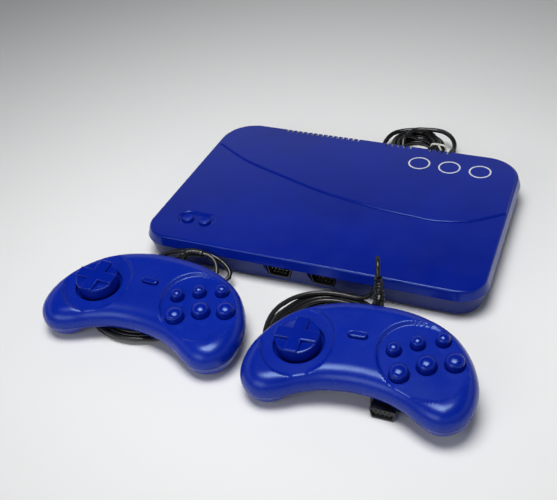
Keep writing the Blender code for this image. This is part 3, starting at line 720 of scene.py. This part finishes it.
# %% Cut the lid
BUTTON_WELL = (-93.5, 27.0)
CONSOLE_BUTTONS = {"power_button": (-100.5, 27.0), "reset_button": (-86.5, 27.0)}
SLOT_ROWS = ((-73.0, -11.0, 15), (14.0, 33.0, 5), (50.0, 64.0, 4))

well = loft([stadium(27.0 + 2 * g, 14.5 + 2 * g, z, BUTTON_WELL) for g, z in (
    (-0.6, 22.8), (-0.1, 22.9), (0.2, 23.2), (0.9, 24.0), (1.2, 24.3), (1.75, 24.62),
    (2.2, 24.9))])
tools = [
    loft([console_outline(g, z, 8) for g, z in (
        (0.0, 15.1), (-0.6, 18.1), (-2.4, 21.0), (-4.0, 22.0))]),
    well,
]
for x, y in CONSOLE_BUTTONS.values():
    tools.append(turned([(0.0, 30.0), (5.2, 30.0), (5.2, 23.1), (4.6, 22.6), (4.6, 15.0),
                         (0.0, 15.0)], (x, y, 0.0)))
for first, last, number in SLOT_ROWS:
    for k in range(number):
        x = first + (last - first) * k / (number - 1)
        tools.append(block((2.0, 11.4, 8.5), (x, LIP_DEPTH, 24.2), 0.3, 2))
lid_mesh = carve(carve(lid_blank(), "UNION", [crown()]), "DIFFERENCE", tools)
piece("console_lid", lid_mesh, casing_abs, "console", CONSOLE, ["console_upper_shell"])
print("lid:", len(lid_mesh.polygons), "faces")

# %% [markdown]
# ## Rings printed on the lid
#
# The lid carries a plain decoration on its back right: three equal rings in a row, pad
# printed in one pale ink. Ink lies about two hundredths of a millimetre thick; it is
# drawn a little thicker, so that the two surfaces stay apart.

# %% Printed rings
PRINT_THICKNESS, PRINT_GAP = 0.06, 0.01
RING_COUNT, RING_PITCH, FIRST_RING = 3, 24.0, (46.0, 144.0)
RING_RADIUS, RING_WIDTH, RING_STEPS = 8.0, 1.2, 96


def pad_print(name, light, dark):
    made, tree, shader, place = finish(name, light, 0.36, IOR=1.5)
    mottled(tree, shader, noise(tree, place, 9.0), light, dark)
    return made


ring_ink = pad_print("pale_print_ink", "d9dade", "c2c6cd")
for k in range(RING_COUNT):
    x, y = FIRST_RING[0] + RING_PITCH * k, FIRST_RING[1]
    work = bmesh.new()
    loops = []
    for reach in (RING_RADIUS - RING_WIDTH / 2.0, RING_RADIUS + RING_WIDTH / 2.0):
        loops.append([work.verts.new(Vector((x + reach * math.cos(math.tau * i / RING_STEPS),
                                             y + reach * math.sin(math.tau * i / RING_STEPS),
                                             CROWN_HEIGHT + PRINT_GAP)) * MM)
                      for i in range(RING_STEPS)])
    band(work, *loops)
    made = bmesh.ops.extrude_face_region(work, geom=work.faces[:])
    lifted = [v for v in made["geom"] if isinstance(v, bmesh.types.BMVert)]
    bmesh.ops.translate(work, vec=(0.0, 0.0, PRINT_THICKNESS * MM), verts=lifted)
    piece("printed_ring_%d" % (k + 1), finished(work), ring_ink, "console", CONSOLE)

# %% [markdown]
# ## The lower shell
#
# The lower shell tapers down to the feet and is open at the top. Its front has two
# D-shaped ports for the pads, and its back one hole for the power plug and one for the
# video cord's boot.

# %% Lower shell
SOCKET_X, SOCKET_HEIGHT = (-17.5, 15.5), 11.2
POWER_SOCKET_X, GLAND_X, GLAND_HEIGHT = -62.0, 62.0, 10.4
SCREW_HOLE, GLAND_HOLE = 1.7, 5.2
SCREW_PLACES = [(-98.0, 34.0), (98.0, 34.0), (-92.0, 136.0), (92.0, 136.0)]


def along_y(profile, x, y, z, steps=48):
    """A turned shape whose axis runs to the back, from a point."""
    mesh = turned(profile, steps=steps)
    mesh.transform(shift(x, y, z) @ turn(-90.0, "X"))
    return mesh


base_blank = loft([console_outline(g, z) for g, z in (
    (-5.4, 1.2), (-4.6, 1.35), (-3.9, 1.8), (-3.2, 2.6), (-2.3, 5.0), (-1.4, 8.0),
    (-0.5, 11.0), (0.4, 14.0), (1.1, 16.4), (1.2, 16.75), (0.95, 16.95))])
tools = [loft([console_outline(g, z, 8) for g, z in ((-7.0, 3.6), (-4.0, 8.0),
                                                     (-1.2, 18.1))])]
for x in SOCKET_X:
    tools.append(loft([d_outline(20.4 + 2 * g, 10.2 + 2 * g, y, (x, SOCKET_HEIGHT))
                       for g, y in ((1.6, -6.0), (0.9, -0.2), (0.3, 0.5), (0.0, 0.9),
                                    (0.0, 10.0))]))
tools.append(block((9.8, 18.0, 11.6), (POWER_SOCKET_X, LIP_DEPTH - 3.0, 10.4), 0.6))
tools.append(along_y(drill(GLAND_HOLE, 20.0), GLAND_X, LIP_DEPTH - 12.0, GLAND_HEIGHT))
for x, y in SCREW_PLACES:
    tools.append(turned(drill(SCREW_HOLE, 6.0), (x, y, 0.0)))
piece("console_base", carve(base_blank, "DIFFERENCE", tools), painted_shade_base_abs, "console",
      CONSOLE, ["console_lower_shell"])

# %% [markdown]
# ## Console buttons and sockets
#
# The two push buttons have a shallow dished top. Each control socket is a black shroud
# with nine nickel-plated pins, five above four.

# %% Buttons, sockets and pins
cap = [(0.0, 24.55), (2.0, 24.6), (3.1, 24.72), (3.6, 24.72), (3.95, 24.5), (4.2, 24.0),
       (4.2, 21.6), (5.4, 21.6), (5.4, 20.4), (3.6, 20.4), (3.6, 15.2), (0.0, 15.2)]
for name, (x, y) in CONSOLE_BUTTONS.items():
    piece(name + "_cap", turned(cap), key_abs, name,
          CONSOLE @ shift(x, y, 0.0), [name])

PIN_PITCH, ROW_PITCH, PIN_RADIUS, CONTACT_HOLE = 2.77, 2.84, 0.5, 0.65


def contacts():
    """Where the nine contacts are: five above four, as (across, up)."""
    for number, up in ((5, ROW_PITCH / 2.0), (4, -ROW_PITCH / 2.0)):
        for k in range(number):
            yield PIN_PITCH * (k - (number - 1) / 2.0), up


pin = [(0.0, 6.0), (PIN_RADIUS, 6.0), (PIN_RADIUS, 0.6), (0.3, 0.15), (0.0, 0.0)]
for side, x in zip(("left", "right"), SOCKET_X):
    low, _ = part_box("controller_socket_" + side)
    front = low[1] / MM - SET_SHIFT.y
    pins = [along_y(pin, x + across, front + 1.0, SOCKET_HEIGHT + up, 16)
            for across, up in contacts()]
    piece("socket_pins_" + side, carve(pins[0], "UNION", pins[1:]), pin_nickel, "console",
          CONSOLE)

# %% [markdown]
# ## A control pad's top shell
#
# The pad is a kidney in plan, with a top that swells up from the parting line like a
# quarter of an ellipse. Two hollows are pressed into it: a dish round the direction pad
# and a bowl round the six buttons. A height function describes all that: for any point
# it takes the distance from the outline and the depth inside each hollow. The mesh is a
# band of rings along the outline, and rungs from back to front fill the middle.

# %% Pad outline and sizes
PAD_PARTING, PAD_TOP, HOLLOW_FLOOR = 12.4, 24.0, 21.9
PAD_BAND = 12.0
PAD_HALF = [
    (0.0, 46.4), (20.0, 45.0), (36.0, 40.4), (48.0, 34.2), (57.6, 26.0), (66.4, 13.6),
    (72.0, 0.0), (73.6, -12.0), (72.2, -22.4), (67.8, -30.2), (60.2, -35.4),
    (51.6, -36.0), (42.0, -32.4), (32.0, -26.8), (20.0, -22.4), (8.0, -20.4),
    (0.0, -20.0),
]
DPAD_AT, START_AT = (-40.4, 2.7), (-5.1, 14.2)
DPAD_DISH = ((-41.5, 3.5), (22.5, 26.5), 8.0)
BUTTON_BOWL = ((37.5, 4.0), (31.0, 24.4), -43.0)
LARGE, SMALL = 5.9, 4.4
FACE_BUTTONS = {
    "button_x": (19.0, 8.5, SMALL, 28.0), "button_y": (32.0, 16.1, SMALL, 28.0),
    "button_z": (46.5, 21.5, SMALL, 28.0), "button_a": (26.5, -8.5, LARGE, 28.7),
    "button_b": (41.0, 0.8, LARGE, 28.7), "button_c": (56.8, 6.0, LARGE, 28.7),
}


def pad_outline(inset, count):
    """The kidney, counted from the middle of its back, moved inwards by inset."""
    mirrored = [(-x, y) for x, y in reversed(PAD_HALF[:-1])]
    half = spline([mirrored[-2]] + PAD_HALF + [mirrored[0]], 60)[60:-60]
    fine = half[:-1] + [Vector((-p.x, p.y)) for p in reversed(half[1:])]
    legs = [(fine[(i + 1) % len(fine)] - p).length for i, p in enumerate(fine)]
    stations = np.concatenate([[0.0], np.cumsum(legs)])
    goals = np.arange(count) * stations[-1] / count
    xs = np.interp(goals, stations, [p.x for p in fine] + [fine[0].x])
    ys = np.interp(goals, stations, [p.y for p in fine] + [fine[0].y])
    picked = np.stack([xs, ys], axis=1)
    along = np.roll(picked, -1, axis=0) - np.roll(picked, 1, axis=0)
    along /= np.linalg.norm(along, axis=1)[:, None]
    return picked + np.stack([along[:, 1], -along[:, 0]], axis=1) * inset


# %% Height of the pad's top
def ease(value, low, high):
    t = min(max((value - low) / (high - low), 0.0), 1.0)
    return t * t * (3.0 - 2.0 * t)


def depth_inside(x, y, oval):
    """Rough distance in millimetres inside an oval; negative outside it."""
    (cx, cy), (a, b), tilt = oval
    c, s = math.cos(math.radians(tilt)), math.sin(math.radians(tilt))
    u, v = (x - cx) * c + (y - cy) * s, (y - cy) * c - (x - cx) * s
    reach = math.hypot(u / a, v / b)
    slope = math.hypot(u / (a * a), v / (b * b)) / max(reach, 1e-6)
    return (1.0 - reach) / max(slope, 1.0 / max(a, b))


def top_height(x, y, inset):
    t = min(inset / PAD_BAND, 1.0)
    swell = PAD_PARTING + 0.15 + (PAD_TOP - PAD_PARTING - 0.15) * math.sqrt(1 - (1 - t) ** 2)
    for oval in (DPAD_DISH, BUTTON_BOWL):
        sunk = ease(depth_inside(x, y, oval), -1.6, 0.2)
        swell += (min(HOLLOW_FLOOR, swell) - swell) * sunk
    return swell


# %% Top shell mesh
RIM_POINTS, RUNG_POINTS = 520, 84
CORD_HOLE, CORD_HOLE_RADIUS, BUTTON_GAP = (-3.0, 40.0, 13.0), 3.9, 0.4


def rungs_across(work, edge, spans, height_at):
    """Fill a pad outline with rungs from its back to its front."""
    count, reach = len(edge), len(edge) // 4
    rungs = []
    for i in range(1 - reach, reach):
        back, front = edge[i % count], edge[(count // 2 - i) % count]
        rung = [back]
        for k in range(1, spans):
            x, y, _ = back.co.lerp(front.co, k / spans) / MM
            rung.append(work.verts.new(Vector((x, y, height_at(x, y))) * MM))
        rungs.append(rung + [front])
    for one, two in zip(rungs, rungs[1:]):
        for k in range(spans):
            work.faces.new((one[k], one[k + 1], two[k + 1], two[k]))
    for rung, tip in ((rungs[0], edge[-reach]), (rungs[-1], edge[reach])):
        for k in range(spans):
            work.faces.new((rung[k], rung[k + 1], tip))


def pad_top_blank():
    insets = [PAD_BAND * (1.0 - math.cos(math.radians(90.0 * k / 16))) for k in range(17)]
    work = bmesh.new()
    rows = []
    for inset in insets:
        rows.append([work.verts.new(Vector((x, y, top_height(x, y, inset))) * MM)
                     for x, y in pad_outline(inset, RIM_POINTS)])
    for low, high in zip(rows, rows[1:]):
        band(work, low, high)
    work.faces.new(rows[0])
    rungs_across(work, rows[-1], RUNG_POINTS, lambda x, y: top_height(x, y, PAD_BAND))
    return finished(work)


def ring_of(inset, height, count=90):
    return [(x, y, height) for x, y in reversed(pad_outline(inset, count))]


def pad_top():
    cavity = loft([ring_of(g, z) for g, z in ((2.2, 11.4), (2.6, 16.0), (3.5, 19.0),
                                              (4.6, 20.4))])
    tools = [cavity,
             turned([(0.0, 30.0), (17.0, 30.0), (17.0, HOLLOW_FLOOR + 0.1),
                     (16.2, HOLLOW_FLOOR - 0.5), (16.2, 15.0),
                     (0.0, 15.0)], (*DPAD_AT, 0.0)),
             loft([stadium(12.6 + 2 * g, 5.2 + 2 * g, z, START_AT) for g, z in (
                 (0.0, 15.0), (0.0, 23.5), (0.2, 23.8), (0.7, 24.1), (1.0, 30.0))])]
    for x, y, radius, _ in FACE_BUTTONS.values():
        wide = radius + BUTTON_GAP
        tools.append(turned([(0.0, 30.0), (wide + 0.5, 30.0), (wide + 0.5, HOLLOW_FLOOR + 0.1),
                             (wide, HOLLOW_FLOOR - 0.4), (wide, 15.0), (0.0, 15.0)],
                            (x, y, 0.0)))
    tools.append(along_y(drill(CORD_HOLE_RADIUS, 20.0), *CORD_HOLE))
    return carve(pad_top_blank(), "DIFFERENCE", tools)


# %% [markdown]
# ## A control pad's lower shell
#
# The underside touches the table only under its two front lobes: between them it arches
# up by about five millimetres. The same arch lifts the lowest outlines of the shell.

# %% Lower pad shell
ARCH, LOBE_AT = 5.5, (59.0, -25.0)
PAD_SCREWS = [(-30.0, 30.0), (30.0, 30.0)]


def pad_arch(x, y):
    return ARCH * ease(math.hypot(abs(x) - LOBE_AT[0], y - LOBE_AT[1]), 12.0, 21.0)


def arched_loft(levels, count, spans=12):
    """A loft of pad outlines, lifted by the arch, with rungs across its floor."""
    def lifted(x, y, height):
        return height + (1.0 - height / PAD_PARTING) * pad_arch(x, y)

    work = bmesh.new()
    rows = [[work.verts.new(Vector((x, y, lifted(x, y, height))) * MM)
             for x, y in pad_outline(inset, count)] for inset, height in levels]
    for low, high in zip(rows, rows[1:]):
        band(work, low, high)
    work.faces.new(rows[-1])
    rungs_across(work, rows[0], spans, lambda x, y: lifted(x, y, levels[0][1]))
    return finished(work)


def pad_base():
    blank = arched_loft([(9.0, 0.0), (7.2, 0.25), (5.8, 1.1), (4.2, 2.4), (2.8, 4.2),
                         (1.6, 6.4), (0.7, 8.8), (0.15, 11.2), (0.0, 12.0), (0.25, 12.25)], 180)
    tools = [arched_loft([(10.5, 2.4), (6.0, 4.6), (3.0, 8.6), (2.2, 12.4)], 88),
             loft([ring_of(2.2, z) for z in (11.9, 14.4)]),
             along_y(drill(CORD_HOLE_RADIUS, 20.0), *CORD_HOLE)]
    for x, y in PAD_SCREWS:
        low = pad_arch(x, y)
        tools.append(turned([(0.0, 12.0), (SCREW_HOLE, 12.0), (SCREW_HOLE, low + 1.0),
                             (3.1, low + 1.0), (3.1, -3.0), (0.0, -3.0)], (x, y, 0.0)))
    return carve(blank, "DIFFERENCE", tools)


# %% [markdown]
# ## Direction pad, buttons and start button
#
# The direction pad is a disc, slightly dished, with a raised cross whose arms reach the
# edge. The face buttons are domes with straight sides. Every cap has a flange below the
# shell that keeps it from falling out.

# %% Caps
DOME_RISE, FLANGE_FOOT, FLANGE_TOP = 2.9, 16.8, 20.1
CROSS_SPAN, CROSS_WIDTH = 28.4, 8.8


def dpad_cap():
    disc = turned([(0.0, 28.5), (5.0, 28.6), (9.5, 28.9), (12.2, 29.25), (13.3, 29.3),
                   (13.9, 29.1), (14.2, 28.7), (14.3, 28.2), (14.3, 21.2), (9.0, 20.9),
                   (9.0, 18.5), (17.0, 18.4), (17.0, 17.2), (0.0, 17.2)], steps=96)
    bars = [block((size_x, size_y, 3.7), (0.0, 0.0, 29.2), 1.1, 5)
            for size_x, size_y in ((CROSS_SPAN, CROSS_WIDTH), (CROSS_WIDTH, CROSS_SPAN))]
    return carve(disc, "UNION", bars)


def face_cap(radius, top):
    """A dome that is the top of a ball, over straight sides and a flange."""
    sweep = math.radians(82.0)
    dome = [(0.0, top)]
    for k in range(1, 15):
        angle = math.radians(82.0 * k / 14)
        dome.append((radius * 0.985 * math.sin(angle) / math.sin(sweep),
                     top - DOME_RISE * (1.0 - math.cos(angle)) / (1.0 - math.cos(sweep))))
    return turned(dome + [(radius, top - 3.3), (radius, FLANGE_TOP),
                          (radius + 0.9, FLANGE_TOP), (radius + 0.9, FLANGE_FOOT),
                          (0.0, FLANGE_FOOT)])


def start_cap():
    return loft([stadium(11.8 + 2 * g, 4.4 + 2 * g, z) for g, z in (
        (0.8, FLANGE_FOOT), (0.8, FLANGE_TOP), (0.0, FLANGE_TOP), (0.0, 24.6),
        (-0.12, 25.0), (-0.4, 25.3), (-0.8, 25.45), (-1.3, 25.5))])


# %% [markdown]
# ## Strain relief and plugs
#
# Where a cord leaves its pad it is held in a tapered boot of the same soft PVC, cut by
# rings that let it bend. The boot follows the cord's first bend.

# %% Ribbed boot
RELIEF_ROUTES = {
    "left": [(-3.0, 47.2, 13.0), (-3.0, 51.4, 13.2), (-1.8, 55.2, 13.4),
             (1.2, 58.0, 13.4), (5.4, 59.3, 13.2), (9.6, 59.6, 12.8)],
    "right": [(-3.0, 47.2, 13.0), (-3.0, 51.8, 13.4), (-3.4, 55.8, 15.0),
              (-4.0, 59.0, 18.0), (-4.6, 61.2, 21.8), (-5.2, 62.4, 25.4)],
}


def boot(route, wide=4.2, narrow=2.7, groove=0.6, pitch=2.6):
    """A tapered tube along a route, with grooves every few millimetres."""
    line = even(spline(route, 16), 0.28)
    maker = tube("boot", line, 1.0, 6)
    total = length_of(line)
    for i, point in enumerate(maker.data.splines[0].points):
        done = i / (len(line) - 1)
        phase = (done * total) % pitch / pitch
        cut = groove * ease(abs(phase - 0.5), 0.36, 0.26) if 0.15 < done < 0.93 else 0.0
        point.radius = wide + (narrow - wide) * done - cut
    graph = bpy.context.evaluated_depsgraph_get()
    mesh = bpy.data.meshes.new_from_object(maker.evaluated_get(graph))
    bpy.data.objects.remove(maker, do_unlink=True)
    work = bmesh.new()
    work.from_mesh(mesh)
    bmesh.ops.remove_doubles(work, verts=work.verts, dist=0.000001)
    mesh = finished(work)
    mesh.materials.clear()
    return mesh


# %% [markdown]
# ## Build both pads
#
# The two pads are the same mouldings, so each mesh is made once. Only their places
# differ: each one is turned a little and rests on its own coil of cord.

# %% Place the pads
PAD_PLACES = {
    "left": ((-84.4, -66.1, 3.6), -3.3, 6.3, 0.0),
    "right": ((70.1, -78.2, 7.0), 1.5, 8.6, -2.4),
}
top_mesh, base_mesh, cross_mesh, start_mesh = pad_top(), pad_base(), dpad_cap(), start_cap()
cap_meshes = {name: face_cap(r, top) for name, (_, _, r, top) in FACE_BUTTONS.items()}
print("pad top:", len(top_mesh.polygons), "faces; pad base:", len(base_mesh.polygons))

for side, (spot, yaw, tilt, roll) in PAD_PLACES.items():
    pad = side + "_pad"
    place = CONSOLE @ shift(*spot) @ turn(yaw, "Z") @ turn(tilt, "X") @ turn(roll, "Y")
    piece(pad + "_top", top_mesh.copy(), painted_light_pad_abs, pad, place, [pad + "_upper_shell"])
    piece(pad + "_base", base_mesh.copy(), painted_light_pad_abs, pad, place, [pad + "_lower_shell"])
    caps = [(pad + "_cross", pad + "_dpad", cross_mesh, DPAD_AT),
            (pad + "_start_cap", pad + "_start_button", start_mesh, START_AT)]
    caps += [("%s_%s_cap" % (pad, name), "%s_%s" % (pad, name), cap_meshes[name], (x, y))
             for name, (x, y, _, _) in FACE_BUTTONS.items()]
    for name, node, mesh, at in caps:
        piece(name, mesh.copy(), key_abs, node, place @ shift(*at, 0.0), [node])
    piece(pad + "_boot", boot(RELIEF_ROUTES[side]), cord_pvc, pad, place,
          [pad + "_strain_relief"])

# %% [markdown]
# ## Plugs
#
# A pad's plug is a flat grip of black ABS with finger ribs on its sides and a shallow
# panel on its faces. Its nose is a D-shaped collar round nine contact holes. It is cut
# from rounded blocks, and its short boot is turned, with two grooves.

# %% Pad plugs
PLUG_PLACES = {"left": ((-83.5, -38.2, 4.5), -150.0), "right": ((89.2, -66.4, 4.6), -90.0)}


def pad_plug():
    aim = shift(26.4, 0.0, 0.0) @ turn(-90.0, "Z")
    nose = loft([d_outline(16.6, 7.6, y, (0.0, 0.0)) for y in (0.0, 8.8)])
    nose.transform(aim)
    neck = turned([(0.0, 8.0), (4.0, 8.0), (3.7, 6.0), (3.0, 5.8), (3.0, 5.0), (3.5, 4.8),
                   (3.3, 3.2), (2.5, 3.0), (2.5, 2.2), (2.9, 2.0), (2.6, 0.3), (0.0, 0.3)])
    neck.transform(turn(90.0, "Y"))
    body = carve(block((20.0, 21.0, 8.8), (16.6, 0.0, 0.0), 1.5, 4), "UNION", [nose, neck])
    hollow = loft([d_outline(14.8, 5.8, y, (0.0, 0.0)) for y in (7.6, 9.6)])
    hollow.transform(aim)
    cuts = [hollow]
    for z in (-4.4, 4.4):
        cuts.append(block((12.0, 13.0, 1.0), (17.0, 0.0, z), 0.45))
    for k in range(5):
        for y in (-10.8, 10.8):
            cuts.append(block((1.1, 1.6, 9.6), (10.6 + 3.0 * k, y, 0.0), 0.3, 2))
    for across, up in contacts():
        hole = turned(drill(CONTACT_HOLE, 6.0), (up, across, 29.4), 12)
        hole.transform(turn(90.0, "Y"))
        cuts.append(hole)
    return carve(body, "DIFFERENCE", cuts)


plug_mesh = pad_plug()
for side, (spot, heading) in PLUG_PLACES.items():
    pad = side + "_pad"
    piece(pad + "_cord_plug", plug_mesh.copy(), plug_abs, pad,
          CONSOLE @ shift(*spot) @ turn(heading, "Z"),
          [pad + "_plug"])
    lead, path = pad_leads[side]

# %% [markdown]
# The video plug is a slim turned grip with grooves for the fingers and a stepped nickel
# pin with two insulating rings. The boot at the console's back has ribs that let it bend.

# %% Video plug and boot
grip = [(0.0, 31.9), (3.2, 31.8), (4.1, 30.6), (4.4, 28.0)]
for k in range(6):
    x = 26.5 - 2.4 * k
    grip += [(4.5, x), (4.5, x - 0.9), (4.0, x - 1.2), (4.0, x - 1.9)]
grip += [(4.4, 9.0), (3.6, 4.0), (2.9, 0.3), (0.0, 0.3)]
tip = [(0.0, 46.0), (0.5, 45.9), (1.2, 45.0), (1.7, 43.6), (1.3, 42.2), (1.75, 41.4),
       (1.75, 38.6), (1.55, 38.5), (1.55, 37.9), (1.75, 37.8), (1.75, 35.2), (1.55, 35.1),
       (1.55, 34.5), (1.75, 34.4), (1.75, 32.0), (0.0, 32.0)]
lie = CONSOLE @ shift(-10.0, 178.2, 4.8) @ turn(-90.0, "Y")
piece("video_plug_grip", turned(grip), plug_abs, "console", lie, ["video_plug"])
piece("video_plug_pin", turned(tip, steps=32), pin_nickel, "console", lie)

ribs = [(0.0, 24.0), (2.7, 24.0), (3.1, 20.4)]
for k in range(5):
    y = 19.6 - 2.6 * k
    wide = 3.2 + 0.26 * k
    ribs += [(wide, y), (wide + 0.1, y - 1.5), (wide - 0.6, y - 1.7), (wide - 0.6, y - 2.4)]
ribs += [(4.5, 6.2), (4.8, 4.6), (5.6, 4.5), (5.8, 4.2), (5.8, 2.2), (5.6, 2.0),
         (4.9, 1.8), (4.9, -8.0), (0.0, -8.0)]
piece("video_cord_boot", along_y(ribs, GLAND_X, LIP_DEPTH, GLAND_HEIGHT), cord_pvc,
      "console", CONSOLE, ["video_cord_gland"])

# %% [markdown]
# ## The twist tie
#
# The video cord's coil is held by a twist tie: two thin wires in a paper strip. It goes
# once round the bundle and is twisted twice beside it. The strip is swept by hand, one
# cross-section for each point of a rounded loop.

# %% Twist tie
TIE_STEPS, TIE_SQUARENESS = 72, 0.45


def twist_tie():
    low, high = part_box("video_cord_tie")
    middle, half = (low + high) / 2.0 / MM, (high - low) / 2.0 / MM
    work = bmesh.new()
    side = Vector((0.0, 1.0, 0.0))
    rows = []
    for k in range(TIE_STEPS):
        angle = math.tau * k / TIE_STEPS
        out = Vector((math.cos(angle), 0.0, math.sin(angle)))
        wide, tall = (abs(share) ** TIE_SQUARENESS * math.copysign(room - 0.35, share)
                      for share, room in ((out.x, half.x), (out.z, half.z)))
        centre = middle + Vector((wide, 0.0, tall))
        rows.append([work.verts.new((centre + out * (a * 0.3) + side * b) * MM)
                     for a, b in ((-1, -1), (1, -0.8), (0.4, 0.0), (1, 0.8), (-1, 1))])
    for row, ahead in zip(rows, rows[1:] + rows[:1]):
        band(work, row, ahead)
    start = middle + Vector((0.0, 0.0, half.z))
    twist = []
    for k in range(25):
        spin = math.radians(30.0 * k)
        ahead = Vector((math.cos(spin), math.sin(spin), 0.0))
        stem = start + Vector((0.25 * k, -0.5 * k, 0.02 * k)) * 0.8
        twist.append([work.verts.new((stem + Vector((ahead.x * u, 0.0, ahead.y * u)) * 0.9
                                      + Vector((-ahead.y * v, 0.0, ahead.x * v)) * 0.3) * MM)
                      for u, v in ((-1, -1), (1, -1), (1, 1), (-1, 1))])
    for one, two in zip(twist, twist[1:]):
        band(work, one, two)
    work.faces.new(twist[0])
    work.faces.new(list(reversed(twist[-1])))
    return finished(work)


piece("video_cord_twist_tie", twist_tie(), tie_paper, "console", Matrix.Identity(4),
      ["video_cord_tie"])

# %% [markdown]
# ## The remaining nodes
#
# Every other CAD node already has its right shape. It keeps its mesh and gets its
# finish by the record's material slot.

# %% Finish the carried-over nodes
NODE_FINISH = {
    "black_rubber": foot_rubber, "blue_abs": casing_abs, "button_blue_abs": key_abs,
    "zinc_steel": screw_zinc, "black_epoxy": chip_epoxy, "green_board": board_laminate,
    "black_abs": plug_abs, "white_tie": tie_paper, "black_pvc": cord_pvc,
    "grey_silicone": mat_silicone,
}
slots = {part["node"]: part["material_slot"] for part in frame["record"]["subparts"]}
for name, node in frame["nodes"].items():
    for material_slot in node.material_slots:
        material_slot.material = NODE_FINISH[slots[name]]
